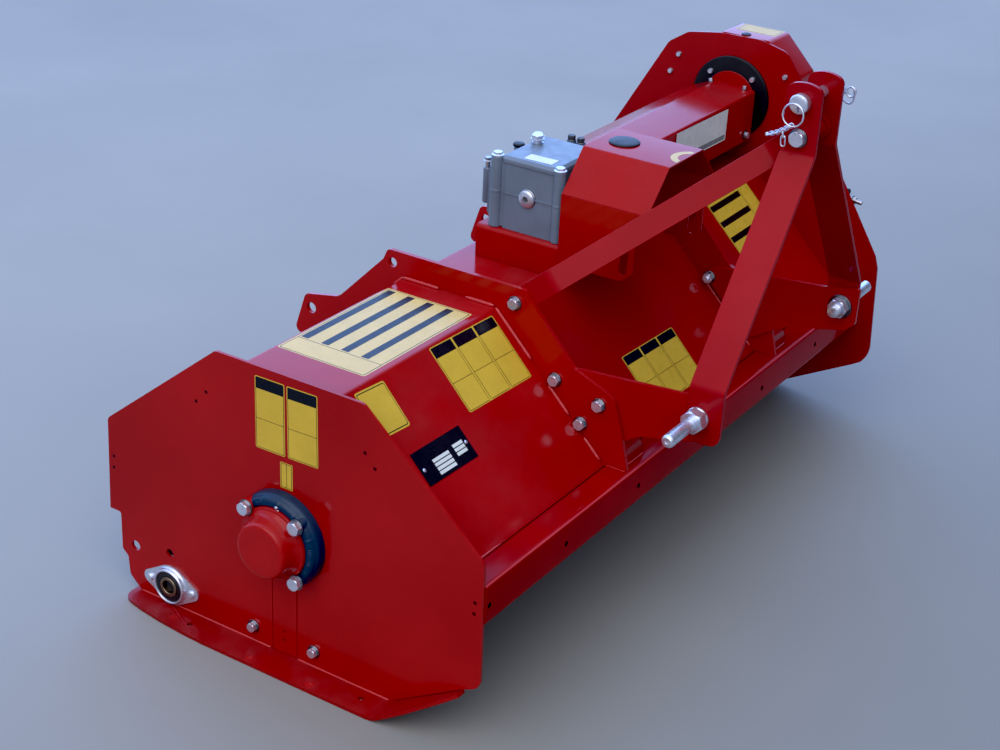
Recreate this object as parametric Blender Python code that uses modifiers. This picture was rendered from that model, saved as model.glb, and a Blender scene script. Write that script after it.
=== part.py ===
"""Tractor mulcher (flail mower) for a light three-point hitch, as separate sub-parts.

+X runs along the machine from the plain end to the belt drive, -Y is the side that
faces the tractor, +Z is up.  Sections below are written in millimetres from the
outer face of the plain end plate (x), a vertical reference plane (y) and the ground
(z).  An empty, machine_datum, moves all of it so that the world origin is the centre
of the footprint on the ground.
"""

import math

import bmesh
import bpy
from mathutils import Matrix, Vector

MM = 0.001
GAP = 0.3  # between pieces that touch

# ---- driving dimensions, mm -------------------------------------------------
DATUM = (-702.0, 55.2, 0.0)

PLATE_T = 5.0  # end plates
X_RIGHT = 0.0  # outer face of the plain end plate
X_LEFT = 1369.0  # inner face of the belt-side end plate
PLATE_BOTTOM = 6.3

HOOD_T = 4.0
HOOD = [(386.0, 150.0), (386.0, 250.0), (112.0, 497.0), (-72.0, 497.0), (-292.0, 279.5)]

BEAM_Y0, BEAM_Y1, BEAM_Z0, BEAM_Z1, BEAM_T = -347.0, -297.0, 207.0, 277.0, 4.0

HITCH_X = 709.5  # plane of symmetry of the hitch
RIB_T = 8.0
RIB_X = 427.0  # outer face of the right rib
STRUT_T = 8.0
STRUT_Y0, STRUT_Y1 = -496.0, -436.0
CLEVIS_X = 666.5  # outer face of the right clevis leg
LOWER_PIN_Y, LOWER_PIN_Z = -456.0, 415.5
TOP_PIN_Y, TOP_PIN_Z = -464.0, 871.5  # mast height 456
CLEVIS_BOLT_Y, CLEVIS_BOLT_Z = -465.0, 814.0
BRACE_FOOT = (-109.0, 513.0)
BRACE_W = 40.0

ROTOR_Y, ROTOR_Z = 26.0, 226.0
ROTOR_R = 57.0
PIVOT_R = 85.0
HAMMER_L = 105.0
HAMMER_W = 118.0
HAMMERS = 10
HAMMER_X0, HAMMER_PITCH = 82.0, 134.0

ROLLER_Y, ROLLER_Z, ROLLER_R = 266.0, 42.8, 42.5
ROLLER_X0, ROLLER_X1 = 47.0, 1326.0

SHAFT_Y, SHAFT_Z = -16.0, 618.0  # cross shaft, and height of the input shaft
INPUT_X = 668.0
BASE_TOP = 556.0
BOX_X0, BOX_X1 = 600.0, 736.0
BOX_Y0, BOX_Y1 = -70.0, 38.0
BOX_TOP = 675.0

GUARD_Y0, GUARD_Y1 = -254.0, -90.0

PULLEY_X0, PULLEY_X1 = 1398.0, 1436.0
UPPER_R, LOWER_R = 62.0, 50.0
COVER_X = 1465.0


# ---- scene ------------------------------------------------------------------
for old in list(bpy.data.objects):
    bpy.data.objects.remove(old, do_unlink=True)

parts = bpy.data.collections.new("tractor_mulcher")
bpy.context.scene.collection.children.link(parts)
cutters = bpy.data.collections.new("cutters")
bpy.context.scene.collection.children.link(cutters)

datum = bpy.data.objects.new("machine_datum", None)
parts.objects.link(datum)
datum.location = Vector(DATUM) * MM


def material(name, color, roughness, metallic):
    mat = bpy.data.materials.new(name)
    mat.use_nodes = True
    bsdf = mat.node_tree.nodes["Principled BSDF"]
    bsdf.inputs["Base Color"].default_value = (*color, 1.0)
    bsdf.inputs["Roughness"].default_value = roughness
    bsdf.inputs["Metallic"].default_value = metallic
    mat.diffuse_color = (*color, 1.0)
    return mat


RED = material("red_paint", (0.42, 0.008, 0.012), 0.28, 0.0)
GREY = material("grey_cast", (0.12, 0.15, 0.19), 0.5, 0.2)
ZINC = material("zinc_plated", (0.62, 0.63, 0.62), 0.3, 1.0)
BLACK = material("black_polymer", (0.012, 0.013, 0.016), 0.5, 0.0)
RUBBER = material("belt_rubber", (0.02, 0.02, 0.02), 0.8, 0.0)
NAVY = material("navy_polymer", (0.008, 0.025, 0.075), 0.35, 0.0)
STEEL = material("machined_steel", (0.45, 0.45, 0.46), 0.35, 1.0)
FORGED = material("forged_steel", (0.16, 0.15, 0.15), 0.55, 0.8)


# ---- helpers ----------------------------------------------------------------
def link(name, data, mat, location=(0, 0, 0), rotation=None, parent=datum, cutter=False):
    obj = bpy.data.objects.new(name, data)
    (cutters if cutter else parts).objects.link(obj)
    obj.parent = parent
    obj.location = Vector(location) * MM
    if rotation is not None:
        obj.rotation_euler = rotation
    if mat is not None:
        data.materials.append(mat)
    if cutter:
        obj.hide_render = True
        obj.display_type = "WIRE"
    return obj


def smooth(mesh, angle=35.0):
    mesh.shade_smooth()
    mesh.set_sharp_from_angle(angle=math.radians(angle))


def box_mesh(name, size):
    bm = bmesh.new()
    bmesh.ops.create_cube(bm, size=1.0)
    bmesh.ops.scale(bm, vec=Vector(size) * MM, verts=bm.verts)
    mesh = bpy.data.meshes.new(name)
    bm.to_mesh(mesh)
    bm.free()
    return mesh


def box(name, lo, hi, mat, bevel=0.0, **kw):
    size = [hi[i] - lo[i] for i in range(3)]
    mid = [(hi[i] + lo[i]) / 2 for i in range(3)]
    obj = link(name, box_mesh(name, size), mat, mid, **kw)
    if bevel:
        mod = obj.modifiers.new("edges", "BEVEL")
        mod.width = bevel * MM
        mod.segments = 2
    return obj


AXIS_TURN = {
    "X": (0, math.pi / 2, 0),
    "Y": (-math.pi / 2, 0, 0),
    "Z": (0, 0, 0),
}


def rod(name, axis, start, length, radius, mat, sides=24, **kw):
    """A cylinder from start along +axis."""
    bm = bmesh.new()
    bmesh.ops.create_cone(
        bm, cap_ends=True, segments=sides, radius1=radius * MM, radius2=radius * MM,
        depth=length * MM,
    )
    bmesh.ops.translate(bm, vec=(0, 0, length * MM / 2), verts=bm.verts)
    mesh = bpy.data.meshes.new(name)
    bm.to_mesh(mesh)
    bm.free()
    smooth(mesh)
    return link(name, mesh, mat, start, AXIS_TURN[axis], **kw)


def turned(name, profile, axis, origin, mat, steps=32, **kw):
    """A profile of (radius, height), outer side from top to bottom, screwed round the
    local Z axis, which then points along +axis."""
    mesh = bpy.data.meshes.new(name)
    closed = profile[0] == profile[-1]
    pts = profile[:-1] if closed else profile
    verts = [(r * MM, 0.0, h * MM) for r, h in pts]
    edges = [(i, i + 1) for i in range(len(verts) - 1)]
    if closed:
        edges.append((len(verts) - 1, 0))
    mesh.from_pydata(verts, edges, [])
    obj = link(name, mesh, mat, origin, AXIS_TURN[axis], **kw)
    mod = obj.modifiers.new("turn", "SCREW")
    mod.axis = "Z"
    mod.angle = 2 * math.pi
    mod.steps = steps
    mod.render_steps = steps
    mod.use_merge_vertices = True
    mod.merge_threshold = 0.00001
    mod.use_smooth_shade = True
    return obj


def rounded(points, radii, segments=4):
    """The closed outline with its corners rounded, radius by index."""
    out = []
    count = len(points)
    for i, point in enumerate(points):
        radius = radii.get(i, 0.0) if isinstance(radii, dict) else radii
        p = Vector(point)
        if not radius:
            out.append((p.x, p.y))
            continue
        a = (Vector(points[i - 1]) - p)
        b = (Vector(points[(i + 1) % count]) - p)
        la, lb = a.length, b.length
        a.normalize()
        b.normalize()
        half = a.angle(b) / 2
        reach = min(radius / math.tan(half), 0.48 * la, 0.48 * lb)
        r = reach * math.tan(half)
        centre = p + (a + b).normalized() * (r / math.sin(half))
        start = p + a * reach - centre
        turn = math.pi - 2 * half
        side = 1.0 if a.cross(b) < 0 else -1.0
        for k in range(segments + 1):
            ang = side * turn * k / segments
            c, s = math.cos(ang), math.sin(ang)
            out.append((centre.x + start.x * c - start.y * s, centre.y + start.x * s + start.y * c))
    return out


def circle(y, z, radius, sides=20):
    return [
        (y + radius * math.cos(2 * math.pi * k / sides), z + radius * math.sin(2 * math.pi * k / sides))
        for k in range(sides)
    ]


PLANE_TURN = {
    "X": (math.pi / 2, 0, math.pi / 2),  # outline (y, z), thickness along X
    "Y": (math.pi / 2, 0, math.pi),  # outline (-x, z), thickness along Y
    "Z": (0, 0, 0),  # outline (x, y), thickness along Z
}


def plate(name, normal, outline, start, thickness, mat, holes=(), **kw):
    """A flat outline with holes, filled both sides and extruded along +normal."""
    curve = bpy.data.curves.new(name, "CURVE")
    curve.dimensions = "2D"
    curve.fill_mode = "BOTH"
    curve.extrude = thickness * MM / 2
    for loop in [outline, *holes]:
        spline = curve.splines.new("POLY")
        spline.points.add(len(loop) - 1)
        for point, (a, b) in zip(spline.points, loop):
            point.co = (a * MM, b * MM, 0.0, 1.0)
        spline.use_cyclic_u = True
    mid = start + thickness / 2
    where = {"X": (mid, 0, 0), "Y": (0, mid, 0), "Z": (0, 0, mid)}[normal]
    return link(name, curve, mat, where, PLANE_TURN[normal], **kw)


def as_mesh(obj):
    """The same object with its evaluated shape as one welded mesh."""
    bpy.context.view_layer.update()
    graph = bpy.context.evaluated_depsgraph_get()
    mesh = bpy.data.meshes.new_from_object(obj.evaluated_get(graph))
    bm = bmesh.new()
    bm.from_mesh(mesh)
    bmesh.ops.remove_doubles(bm, verts=bm.verts, dist=0.000001)
    bmesh.ops.recalc_face_normals(bm, faces=bm.faces)
    bm.to_mesh(mesh)
    bm.free()
    name = obj.name
    home = obj.users_collection[0]
    placed = obj.matrix_world.copy()
    parent = obj.parent
    hidden, display = obj.hide_render, obj.display_type
    bpy.data.objects.remove(obj, do_unlink=True)
    new = bpy.data.objects.new(name, mesh)
    home.objects.link(new)
    new.parent = parent
    bpy.context.view_layer.update()
    new.matrix_world = placed
    new.hide_render, new.display_type = hidden, display
    return new


def cut(obj, tool, operation="DIFFERENCE"):
    mod = obj.modifiers.new(tool.name, "BOOLEAN")
    mod.operation = operation
    mod.solver = "EXACT"
    mod.object = tool
    return mod


def drill(obj, axis, start, length, radius, sides=20):
    tool = rod(f"cut_{obj.name}_{len(obj.modifiers)}", axis, start, length, radius, None, sides, cutter=True)
    cut(obj, tool)


def strip(name, rows, mat, thickness, offset, **kw):
    """An open sheet through rows of points, thickened by Solidify."""
    bm = bmesh.new()
    made = [[bm.verts.new(Vector(p) * MM) for p in row] for row in rows]
    for a, b in zip(made, made[1:]):
        for i in range(len(a) - 1):
            bm.faces.new((a[i], a[i + 1], b[i + 1], b[i]))
    mesh = bpy.data.meshes.new(name)
    bm.to_mesh(mesh)
    bm.free()
    obj = link(name, mesh, mat, **kw)
    mod = obj.modifiers.new("sheet", "SOLIDIFY")
    mod.thickness = thickness * MM
    mod.offset = offset
    mod.use_even_offset = True
    return obj


def mirror_x(x):
    return 2 * HITCH_X - x


# ---- hood, beam, end plates -------------------------------------------------
hood = strip(
    "hood_shell",
    [[(x, y, z) for y, z in HOOD] for x in (X_RIGHT + PLATE_T + GAP, X_LEFT - GAP)],
    RED, HOOD_T, -1.0,
)

beam = plate(
    "front_beam", "X",
    rounded([(BEAM_Y0, BEAM_Z0), (BEAM_Y1, BEAM_Z0), (BEAM_Y1, BEAM_Z1), (BEAM_Y0, BEAM_Z1)], 6.0, 3),
    X_RIGHT + PLATE_T + GAP, X_LEFT - X_RIGHT - PLATE_T - 2 * GAP, RED,
    holes=[[(BEAM_Y0 + BEAM_T, BEAM_Z0 + BEAM_T), (BEAM_Y1 - BEAM_T, BEAM_Z0 + BEAM_T),
            (BEAM_Y1 - BEAM_T, BEAM_Z1 - BEAM_T), (BEAM_Y0 + BEAM_T, BEAM_Z1 - BEAM_T)]],
)

SLOT_HALF = 25.3
slot_arc = [
    (ROTOR_Y + SLOT_HALF * math.cos(a), ROTOR_Z + SLOT_HALF * math.sin(a))
    for a in [math.pi - math.pi * k / 12 for k in range(13)]
]
RIGHT_OUTLINE = (
    rounded(
        [(338, PLATE_BOTTOM), (361, 27), (364, 62), (376, 72), (376, 143), (400, 143), (395, 314),
         (160, 505.5), (-123, 505.5), (-344, 316), (-347, 99), (-314, 84), (-184, PLATE_BOTTOM)],
        {0: 12, 1: 10, 2: 8, 3: 8, 4: 5, 6: 14, 7: 12, 8: 16, 9: 18, 10: 22, 11: 20, 12: 10}, 4,
    )
    + [(ROTOR_Y - SLOT_HALF, PLATE_BOTTOM)] + slot_arc + [(ROTOR_Y + SLOT_HALF, PLATE_BOTTOM)]
)
plate(
    "right_end_plate", "X", RIGHT_OUTLINE, X_RIGHT, PLATE_T, RED,
    holes=[circle(345, 89, 9, 12), circle(271, 104, 6.5, 12), circle(ROLLER_Y, ROLLER_Z, 17, 20)],
)
LEFT_OUTLINE = rounded(
    [(338, PLATE_BOTTOM), (361, 27), (364, 62), (376, 72), (376, 143), (400, 143), (395, 314),
     (250, 505), (135, 704), (92, 731), (20, 741), (-68, 740), (-128, 727), (-155, 692),
     (-371, 352), (-383, 330), (-383, 160), (-352, 123), (-138, PLATE_BOTTOM)],
    {0: 12, 1: 10, 2: 8, 3: 8, 4: 5, 6: 14, 7: 20, 8: 20, 9: 30, 10: 30, 11: 60, 12: 30, 13: 30, 14: 15, 15: 15,
     16: 30, 17: 25, 18: 10}, 4,
)
plate(
    "left_end_plate", "X", LEFT_OUTLINE, X_LEFT, PLATE_T, RED,
    holes=[circle(345, 89, 9, 12), circle(271, 104, 6.5, 12), circle(ROLLER_Y, ROLLER_Z, 17, 20),
           circle(ROTOR_Y, ROTOR_Z, 26, 24), circle(SHAFT_Y, SHAFT_Z, 30, 24)],
)

# cover that closes the shaft slot: a strip flush in the slot on a bolted backing plate
cover = plate(
    "shaft_slot_cover", "X",
    [(ROTOR_Y - 25, PLATE_BOTTOM), (ROTOR_Y + 25, PLATE_BOTTOM), (ROTOR_Y + 25, 150), (ROTOR_Y - 25, 150)],
    X_RIGHT + 0.2, PLATE_T + 4.0, RED,
)
cover = as_mesh(cover)
backing = box("union_slot_backing", (PLATE_T + GAP, ROTOR_Y - 72, 10), (PLATE_T + 6.3, ROTOR_Y + 86, 58), None, cutter=True)
cut(cover, backing, "UNION")


def skid(name, outer_x, inner_x, fold_y, slope_top):
    """Sole strip bent up at the front to follow the bevel of its end plate."""
    side = -1.0 if outer_x < inner_x else 1.0
    stations = [
        (347.0, 0.0, 30.0), (300.0, 0.0, 42.0), (251.0, 0.0, 49.0), (155.0, 0.0, 56.0),
        (fold_y - 1.7, 0.0, 55.0), slope_top,
    ]
    rows = []
    for y, z, proud in stations:
        rows.append([(outer_x + side * proud, y, z), (outer_x, y, z), (inner_x, y, z)])
    return strip(name, rows, RED, 6.0, side)


right_skid = skid("right_skid", X_RIGHT, X_RIGHT + 42.0, -184.0, (-317.5, 77.4, 12.0))
left_skid = skid("left_skid", X_LEFT + PLATE_T, X_LEFT - 38.0, -138.0, (-352.5, 113.5, 12.0))

# ---- ribs across the hood ---------------------------------------------------
SLOPE = (Vector((-292.0, 279.5)) - Vector((-72.0, 497.0))).normalized()
OUT = Vector((SLOPE.y, -SLOPE.x)) * 0.5
REAR = (Vector((386.0, 250.0)) - Vector((112.0, 497.0))).normalized()


def rear_point(y, lift=0.5):
    return (y, 497.0 + REAR.y / REAR.x * (y - 112.0) + lift / REAR.x)


RIB_OUTLINE = (
    rounded(
        [(-340, BEAM_Z1 + 0.4), (-322, 349), (-306, 397), (-288, 407), (-228, 430), (-138, 526), (-128, 541),
         (148, 541), (165, 518), (185, 470), (258, 421), (322, 411), (345, 388), (354, 340)],
        {1: 10, 2: 14, 3: 10, 4: 14, 5: 10, 6: 8, 7: 10, 8: 12, 9: 40, 10: 40, 11: 20, 12: 20, 13: 10}, 4,
    )
    + [rear_point(338.0), (112.3, 497.4)]
    + [(-72.0 + OUT.x, 497.0 + 0.5), (-292.0 + OUT.x, 279.5 + OUT.y), (-294.5, BEAM_Z1 + 0.4)]
)
for side, x in (("right", RIB_X), ("left", mirror_x(RIB_X) - RIB_T)):
    plate(f"{side}_rib", "X", RIB_OUTLINE, x, RIB_T, RED, holes=[circle(138, 519, 8.5, 14), circle(313, 385, 10, 14)])

# ---- hitch ------------------------------------------------------------------
BRACKET_OUTLINE = rounded(
    [(-184, 404), (-200, 424), (-240, 428), (-417, 443), (-488, 457), (-488, 388), (-470, 372), (-352, 344),
     (-292, 306), (-268, 318)],
    {0: 8, 1: 10, 4: 6, 5: 14, 6: 14, 7: 20, 8: 8, 9: 8}, 4,
)
for side in ("right", "left"):
    x = RIB_X + RIB_T + GAP
    x = x if side == "right" else mirror_x(x) - RIB_T
    plate(f"{side}_lower_bracket", "X", BRACKET_OUTLINE, x, RIB_T, RED,
          holes=[circle(LOWER_PIN_Y, LOWER_PIN_Z, 10.4, 20)])


def strut(name, flip):
    """Flat bar: clevis leg with a crowned end, sloping shank, pin flange."""
    flange_x = RIB_X + STRUT_T / 2
    top_x = CLEVIS_X + STRUT_T / 2
    half = (STRUT_Y1 - STRUT_Y0) / 2
    mid = (STRUT_Y1 + STRUT_Y0) / 2
    along = []
    for k in range(7):  # crowned top end
        a = math.radians(52.0 * (1 - k / 6.0))
        along.append((top_x, 902.0 - 36.0 * (1 - math.cos(a)), None))
    rows = []
    cols = 6
    crown = [(-half + 2 * half * i / cols) for i in range(cols + 1)]
    rows.append([(top_x, mid + c, 903.0 - 0.009 * c * c) for c in crown])
    for x, z in ((top_x, 788.0), (flange_x, 466.0), (flange_x, 392.0)):
        rows.append([(x, mid + c, z) for c in crown])
    rows.append([(flange_x, mid + c * 0.86, 372.0 + 0.012 * c * c) for c in crown])
    if flip:
        rows = [[(mirror_x(px), py, pz) for px, py, pz in row] for row in rows]
    obj = strip(name, rows, RED, STRUT_T, 0.0)
    x0 = (CLEVIS_X - 20) if not flip else mirror_x(CLEVIS_X) - 28
    drill(obj, "X", (x0, TOP_PIN_Y, TOP_PIN_Z), 48, 9.9)
    drill(obj, "X", (x0, CLEVIS_BOLT_Y, CLEVIS_BOLT_Z), 48, 8.4)
    x1 = (RIB_X - 20) if not flip else mirror_x(RIB_X) - 28
    drill(obj, "X", (x1, LOWER_PIN_Y, LOWER_PIN_Z), 48, 10.4)
    return obj


strut("right_mast_strut", False)
strut("left_mast_strut", True)


def brace(name, flip):
    """Flat bar from the rib to the clevis, its ends set parallel to the ribs."""
    foot = Vector(BRACE_FOOT)
    head = Vector((CLEVIS_BOLT_Y, CLEVIS_BOLT_Z))
    run = head - foot
    reach = run.length
    run.normalize()
    wide = Vector((-run.y, run.x)) * (BRACE_W / 2)
    low_x = RIB_X + RIB_T + GAP + 4.0
    high_x = CLEVIS_X + STRUT_T + GAP + 4.0
    rows = []
    for t, x, w in (
        (-20.0, low_x, 0.55), (-10.0, low_x, 1.0), (80.0, low_x, 1.0), (reach - 62.0, high_x, 1.0),
        (reach + 11.0, high_x, 1.0), (reach + 20.0, high_x, 0.55),
    ):
        c = foot + run * t
        rows.append([(x, c.x - wide.x * w * s, c.y - wide.y * w * s) for s in (1.0, 0.0, -1.0)])
    if flip:
        rows = [[(mirror_x(px), py, pz) for px, py, pz in row] for row in rows]
    obj = strip(name, rows, RED, 8.0, 0.0)
    x0 = (CLEVIS_X - 10) if not flip else mirror_x(CLEVIS_X) - 40
    drill(obj, "X", (x0, CLEVIS_BOLT_Y, CLEVIS_BOLT_Z), 50, 8.4)
    return obj


brace("right_mast_brace", False)
brace("left_mast_brace", True)

# lower hitch pins, turned about +X from the threaded end outwards
for side in ("right", "left"):
    face = RIB_X - GAP  # shoulder on the outer face of the strut flange
    profile = [
        (0, 0), (8.5, 0), (11, -3), (11, -78), (16.8, -78), (18.5, -79.7), (18.5, -103.7),
        (10, -103.7), (10, -144), (8.5, -146), (0, -146),
    ]
    if side == "right":
        pin = turned("right_hitch_pin", profile, "X", (face - 103.7, LOWER_PIN_Y, LOWER_PIN_Z), ZINC, 20)
        pin.rotation_euler = (0, -math.pi / 2, 0)
    else:
        pin = turned("left_hitch_pin", profile, "X", (mirror_x(face - 103.7), LOWER_PIN_Y, LOWER_PIN_Z), ZINC, 20)
    hexagon = [
        (LOWER_PIN_Y + 19.0 * math.cos(math.pi / 3 * k), LOWER_PIN_Z + 19.0 * math.sin(math.pi / 3 * k))
        for k in range(6)
    ]
    x = RIB_X + 2 * RIB_T + 2 * GAP
    x = x if side == "right" else mirror_x(x) - 18.0
    plate(f"{side}_hitch_pin_nut", "X", hexagon, x, 18.0, ZINC,
          holes=[circle(LOWER_PIN_Y, LOWER_PIN_Z, 10.3, 20)])

# top link pin with its head on the plain side; the linchpin crosses its far end
PIN_END = mirror_x(CLEVIS_X) + 26.0
LINCH_X = mirror_x(CLEVIS_X) + 15.0
top_pin = turned(
    "top_link_pin",
    [(0, PIN_END), (8, PIN_END), (9.5, PIN_END - 3), (9.5, CLEVIS_X - GAP), (16, CLEVIS_X - GAP),
     (16, CLEVIS_X - 13), (13.5, CLEVIS_X - 16), (0, CLEVIS_X - 16)],
    "X", (0, TOP_PIN_Y, TOP_PIN_Z), ZINC, 20,
)
drill(top_pin, "Y", (LINCH_X, TOP_PIN_Y - 20, TOP_PIN_Z), 40, 5.2, 16)
linchpin = turned(
    "linchpin",
    [(0, 24), (3.0, 24), (4.8, 19), (4.8, -16), (7.5, -16), (7.5, -26), (5.5, -28), (0, -28)],
    "Y", (LINCH_X, TOP_PIN_Y, TOP_PIN_Z), ZINC, 20,
)
ring = bpy.data.curves.new("linchpin_ring", "CURVE")
ring.dimensions = "3D"
ring.bevel_depth = 1.6 * MM
ring.bevel_resolution = 1
ring.use_fill_caps = True
spline = ring.splines.new("POLY")
count = 17
spline.points.add(count - 1)
for k in range(count):
    a = math.radians(25.0 + 310.0 * k / (count - 1))
    spline.points[k].co = (0.0, 14.0 * math.cos(a) * MM, 14.0 * math.sin(a) * MM, 1.0)
# the ring springs out of both sides of the pin's head
ring = as_mesh(link("union_linchpin_ring", ring, None, (LINCH_X, TOP_PIN_Y - 31.0, TOP_PIN_Z), cutter=True))
cut(linchpin, ring, "UNION")

# through bolt of the clevis and the spacer on it
bolt_len = mirror_x(CLEVIS_X) - CLEVIS_X
head = [(13.9 * math.cos(math.pi / 3 * k + 0.2), 13.9 * math.sin(math.pi / 3 * k + 0.2)) for k in range(6)]
bolt = rod("clevis_bolt", "X", (CLEVIS_X - GAP - 1.0, CLEVIS_BOLT_Y, CLEVIS_BOLT_Z), bolt_len + 22.0, 8.0, ZINC, 20)
bolt_head = plate("union_bolt_head", "X", [(CLEVIS_BOLT_Y + a, CLEVIS_BOLT_Z + b) for a, b in head],
                  CLEVIS_X - GAP - 10.0, 10.0, None, cutter=True)
bolt_head = as_mesh(bolt_head)
cut(bolt, bolt_head, "UNION")
bolt_nut = plate("clevis_nut", "X", [(CLEVIS_BOLT_Y + a, CLEVIS_BOLT_Z + b) for a, b in head],
                 mirror_x(CLEVIS_X) + GAP, 14.0, ZINC, holes=[circle(CLEVIS_BOLT_Y, CLEVIS_BOLT_Z, 8.4, 20)])
spacer_x = CLEVIS_X + STRUT_T + 8.0 + 2 * GAP
plate("clevis_spacer", "X", circle(CLEVIS_BOLT_Y, CLEVIS_BOLT_Z, 15, 24), spacer_x,
      mirror_x(spacer_x) - spacer_x, RED, holes=[circle(CLEVIS_BOLT_Y, CLEVIS_BOLT_Z, 8.4, 20)])

# ---- gearbox ----------------------------------------------------------------
base = strip(
    "gearbox_base",
    [[(586.5, y, 497.4), (586.5, y, BASE_TOP), (832.5, y, BASE_TOP), (832.5, y, 497.4)] for y in (-70.0, 78.0)],
    RED, 5.0, -1.0,
)

housing = box("gearbox_housing", (BOX_X0, BOX_Y0, BASE_TOP + GAP), (BOX_X1, BOX_Y1, BOX_TOP), GREY)
CORNERS = [(BOX_X0 + 4, BOX_Y0 - 6), (BOX_X0 + 4, BOX_Y1 + 8), (BOX_X1 - 4, BOX_Y0 - 6), (BOX_X1 - 4, BOX_Y1 + 8)]
for i, (x, y) in enumerate(CORNERS):
    boss = rod(f"union_boss_{i}", "Z", (x, y, BASE_TOP + 3), BOX_TOP - BASE_TOP - 5, 13.0, None, 20, cutter=True)
    cut(housing, boss, "UNION")
rear = box("union_rear_cap", (614, BOX_Y1 - 4, 566), (722, 74, 670), None, cutter=True)
cut(housing, rear, "UNION")
nose = rod("union_input_nose", "Y", (INPUT_X, BOX_Y0 - 14, SHAFT_Z), 20, 40, None, 28, cutter=True)
cut(housing, nose, "UNION")
flange = rod("union_output_nose", "X", (BOX_X1 - 6, SHAFT_Y, SHAFT_Z), 22, 44, None, 28, cutter=True)
cut(housing, flange, "UNION")
cavity = box("cut_cavity", (BOX_X0 + 10, BOX_Y0 + 10, BASE_TOP + 12), (BOX_X1 - 10, BOX_Y1 - 8, BOX_TOP + 20), None, cutter=True)
cut(housing, cavity)
bore_in = rod("cut_input_bore", "Y", (INPUT_X, BOX_Y0 - 40, SHAFT_Z), 70, 18.0, None, 24, cutter=True)
cut(housing, bore_in)
bore_out = rod("cut_output_bore", "X", (BOX_X1 - 30, SHAFT_Y, SHAFT_Z), 70, 15.6, None, 24, cutter=True)
cut(housing, bore_out)

LID = rounded(
    [(BOX_X0 - 4, BOX_Y0 - 16), (BOX_X1 + 4, BOX_Y0 - 16), (BOX_X1 + 4, BOX_Y1 + 18), (BOX_X0 - 4, BOX_Y1 + 18)], 14.0, 4)
plate("gearbox_cover", "Z", LID, BOX_TOP + GAP, 12.0, GREY)
LID_TOP = BOX_TOP + GAP + 12.0
turned("breather_plug", [(0, 20), (9, 20), (12.5, 16), (12.5, 8), (8, 7), (8, 3), (13, 3), (13, 0), (0, 0)],
       "Z", (668.0, 18.0, LID_TOP + GAP), ZINC, 20)
turned("level_plug", [(0, 7.5), (5, 7.5), (10, 7.5), (11, 5), (15, 5), (15, 0), (0, 0)],
       "X", (BOX_X0 - GAP, SHAFT_Y, SHAFT_Z + 4), ZINC, 24).rotation_euler = (0, -math.pi / 2, 0)

# input shaft (local Z points to +Y) with its bevel gear, and the pinion on the cross shaft
shaft_in = turned(
    "input_shaft",
    [(0, -5), (14, -5), (14, -44), (17.4, -46), (17.4, -156), (15, -160), (0, -160)],
    "Y", (INPUT_X, SHAFT_Y, SHAFT_Z), STEEL, 24,
)
turned(
    "input_bevel_gear",
    [(14.4, -9), (22, -9), (40, -17), (40, -30), (22, -34), (14.4, -34), (14.4, -9)],
    "Y", (INPUT_X, SHAFT_Y, SHAFT_Z), STEEL, 24,
)
turned(
    "cross_shaft",
    [(0, PULLEY_X1 + 8), (13, PULLEY_X1 + 8), (15, PULLEY_X1 + 4), (15, INPUT_X + 46), (14, INPUT_X + 42.3),
     (0, INPUT_X + 42.3)],
    "X", (0, SHAFT_Y, SHAFT_Z), STEEL, 24,
)
turned(
    "output_pinion",
    [(0, 42), (15, 42), (15.6, 40), (8.4, 22), (0, 22)],
    "X", (INPUT_X, SHAFT_Y, SHAFT_Z), STEEL, 20,
)

# ---- guards -----------------------------------------------------------------
GUARD = [(588.0, 527.0), (588.0, 651.0), (649.0, 719.0), (770.0, 719.0), (831.0, 651.0), (831.0, 527.0)]
guard = strip("pto_guard", [[(x, y, z) for x, z in GUARD] for y in (GUARD_Y0, GUARD_Y1)], RED, 3.0, 0.0)
drill(guard, "Z", (HITCH_X, -135.0, 705.0), 40, 22.0, 24)
turned("pto_guard_plug", [(0, 4), (24, 4), (27, 1.5), (27, 0), (21.5, 0), (21.5, -8), (0, -8)],
       "Z", (HITCH_X, -135.0, 720.5 + GAP), BLACK, 28)

TUNNEL = [(-72.0, 545.0), (-72.0, 646.0), (14.0, 646.0), (78.0, 622.0), (78.0, 545.0)]
strip("cross_shaft_guard", [[(x, y, z) for y, z in TUNNEL] for x in (838.0, 1359.5)], RED, 3.0, 0.0)
plate("drive_flange_ring", "X", circle(SHAFT_Y, SHAFT_Z, 84.0, 40), 1361.3, 7.4, BLACK,
      holes=[circle(SHAFT_Y, SHAFT_Z, 46.0, 32)])

# ---- belt drive -------------------------------------------------------------
def pulley(name, y, z, radius, bore, mat):
    return turned(
        name,
        [(radius + 7, PULLEY_X1), (radius + 7, PULLEY_X1 - 3), (radius, PULLEY_X1 - 4), (radius, PULLEY_X0 + 4),
         (radius + 7, PULLEY_X0 + 3), (radius + 7, PULLEY_X0), (bore, PULLEY_X0), (bore, PULLEY_X1),
         (radius + 7, PULLEY_X1)],
        "X", (0, y, z), mat, 24,
    )


pulley("upper_pulley", SHAFT_Y, SHAFT_Z, UPPER_R, 15.4, FORGED)
pulley("lower_pulley", ROTOR_Y, ROTOR_Z, LOWER_R, 16.4, FORGED)


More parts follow.
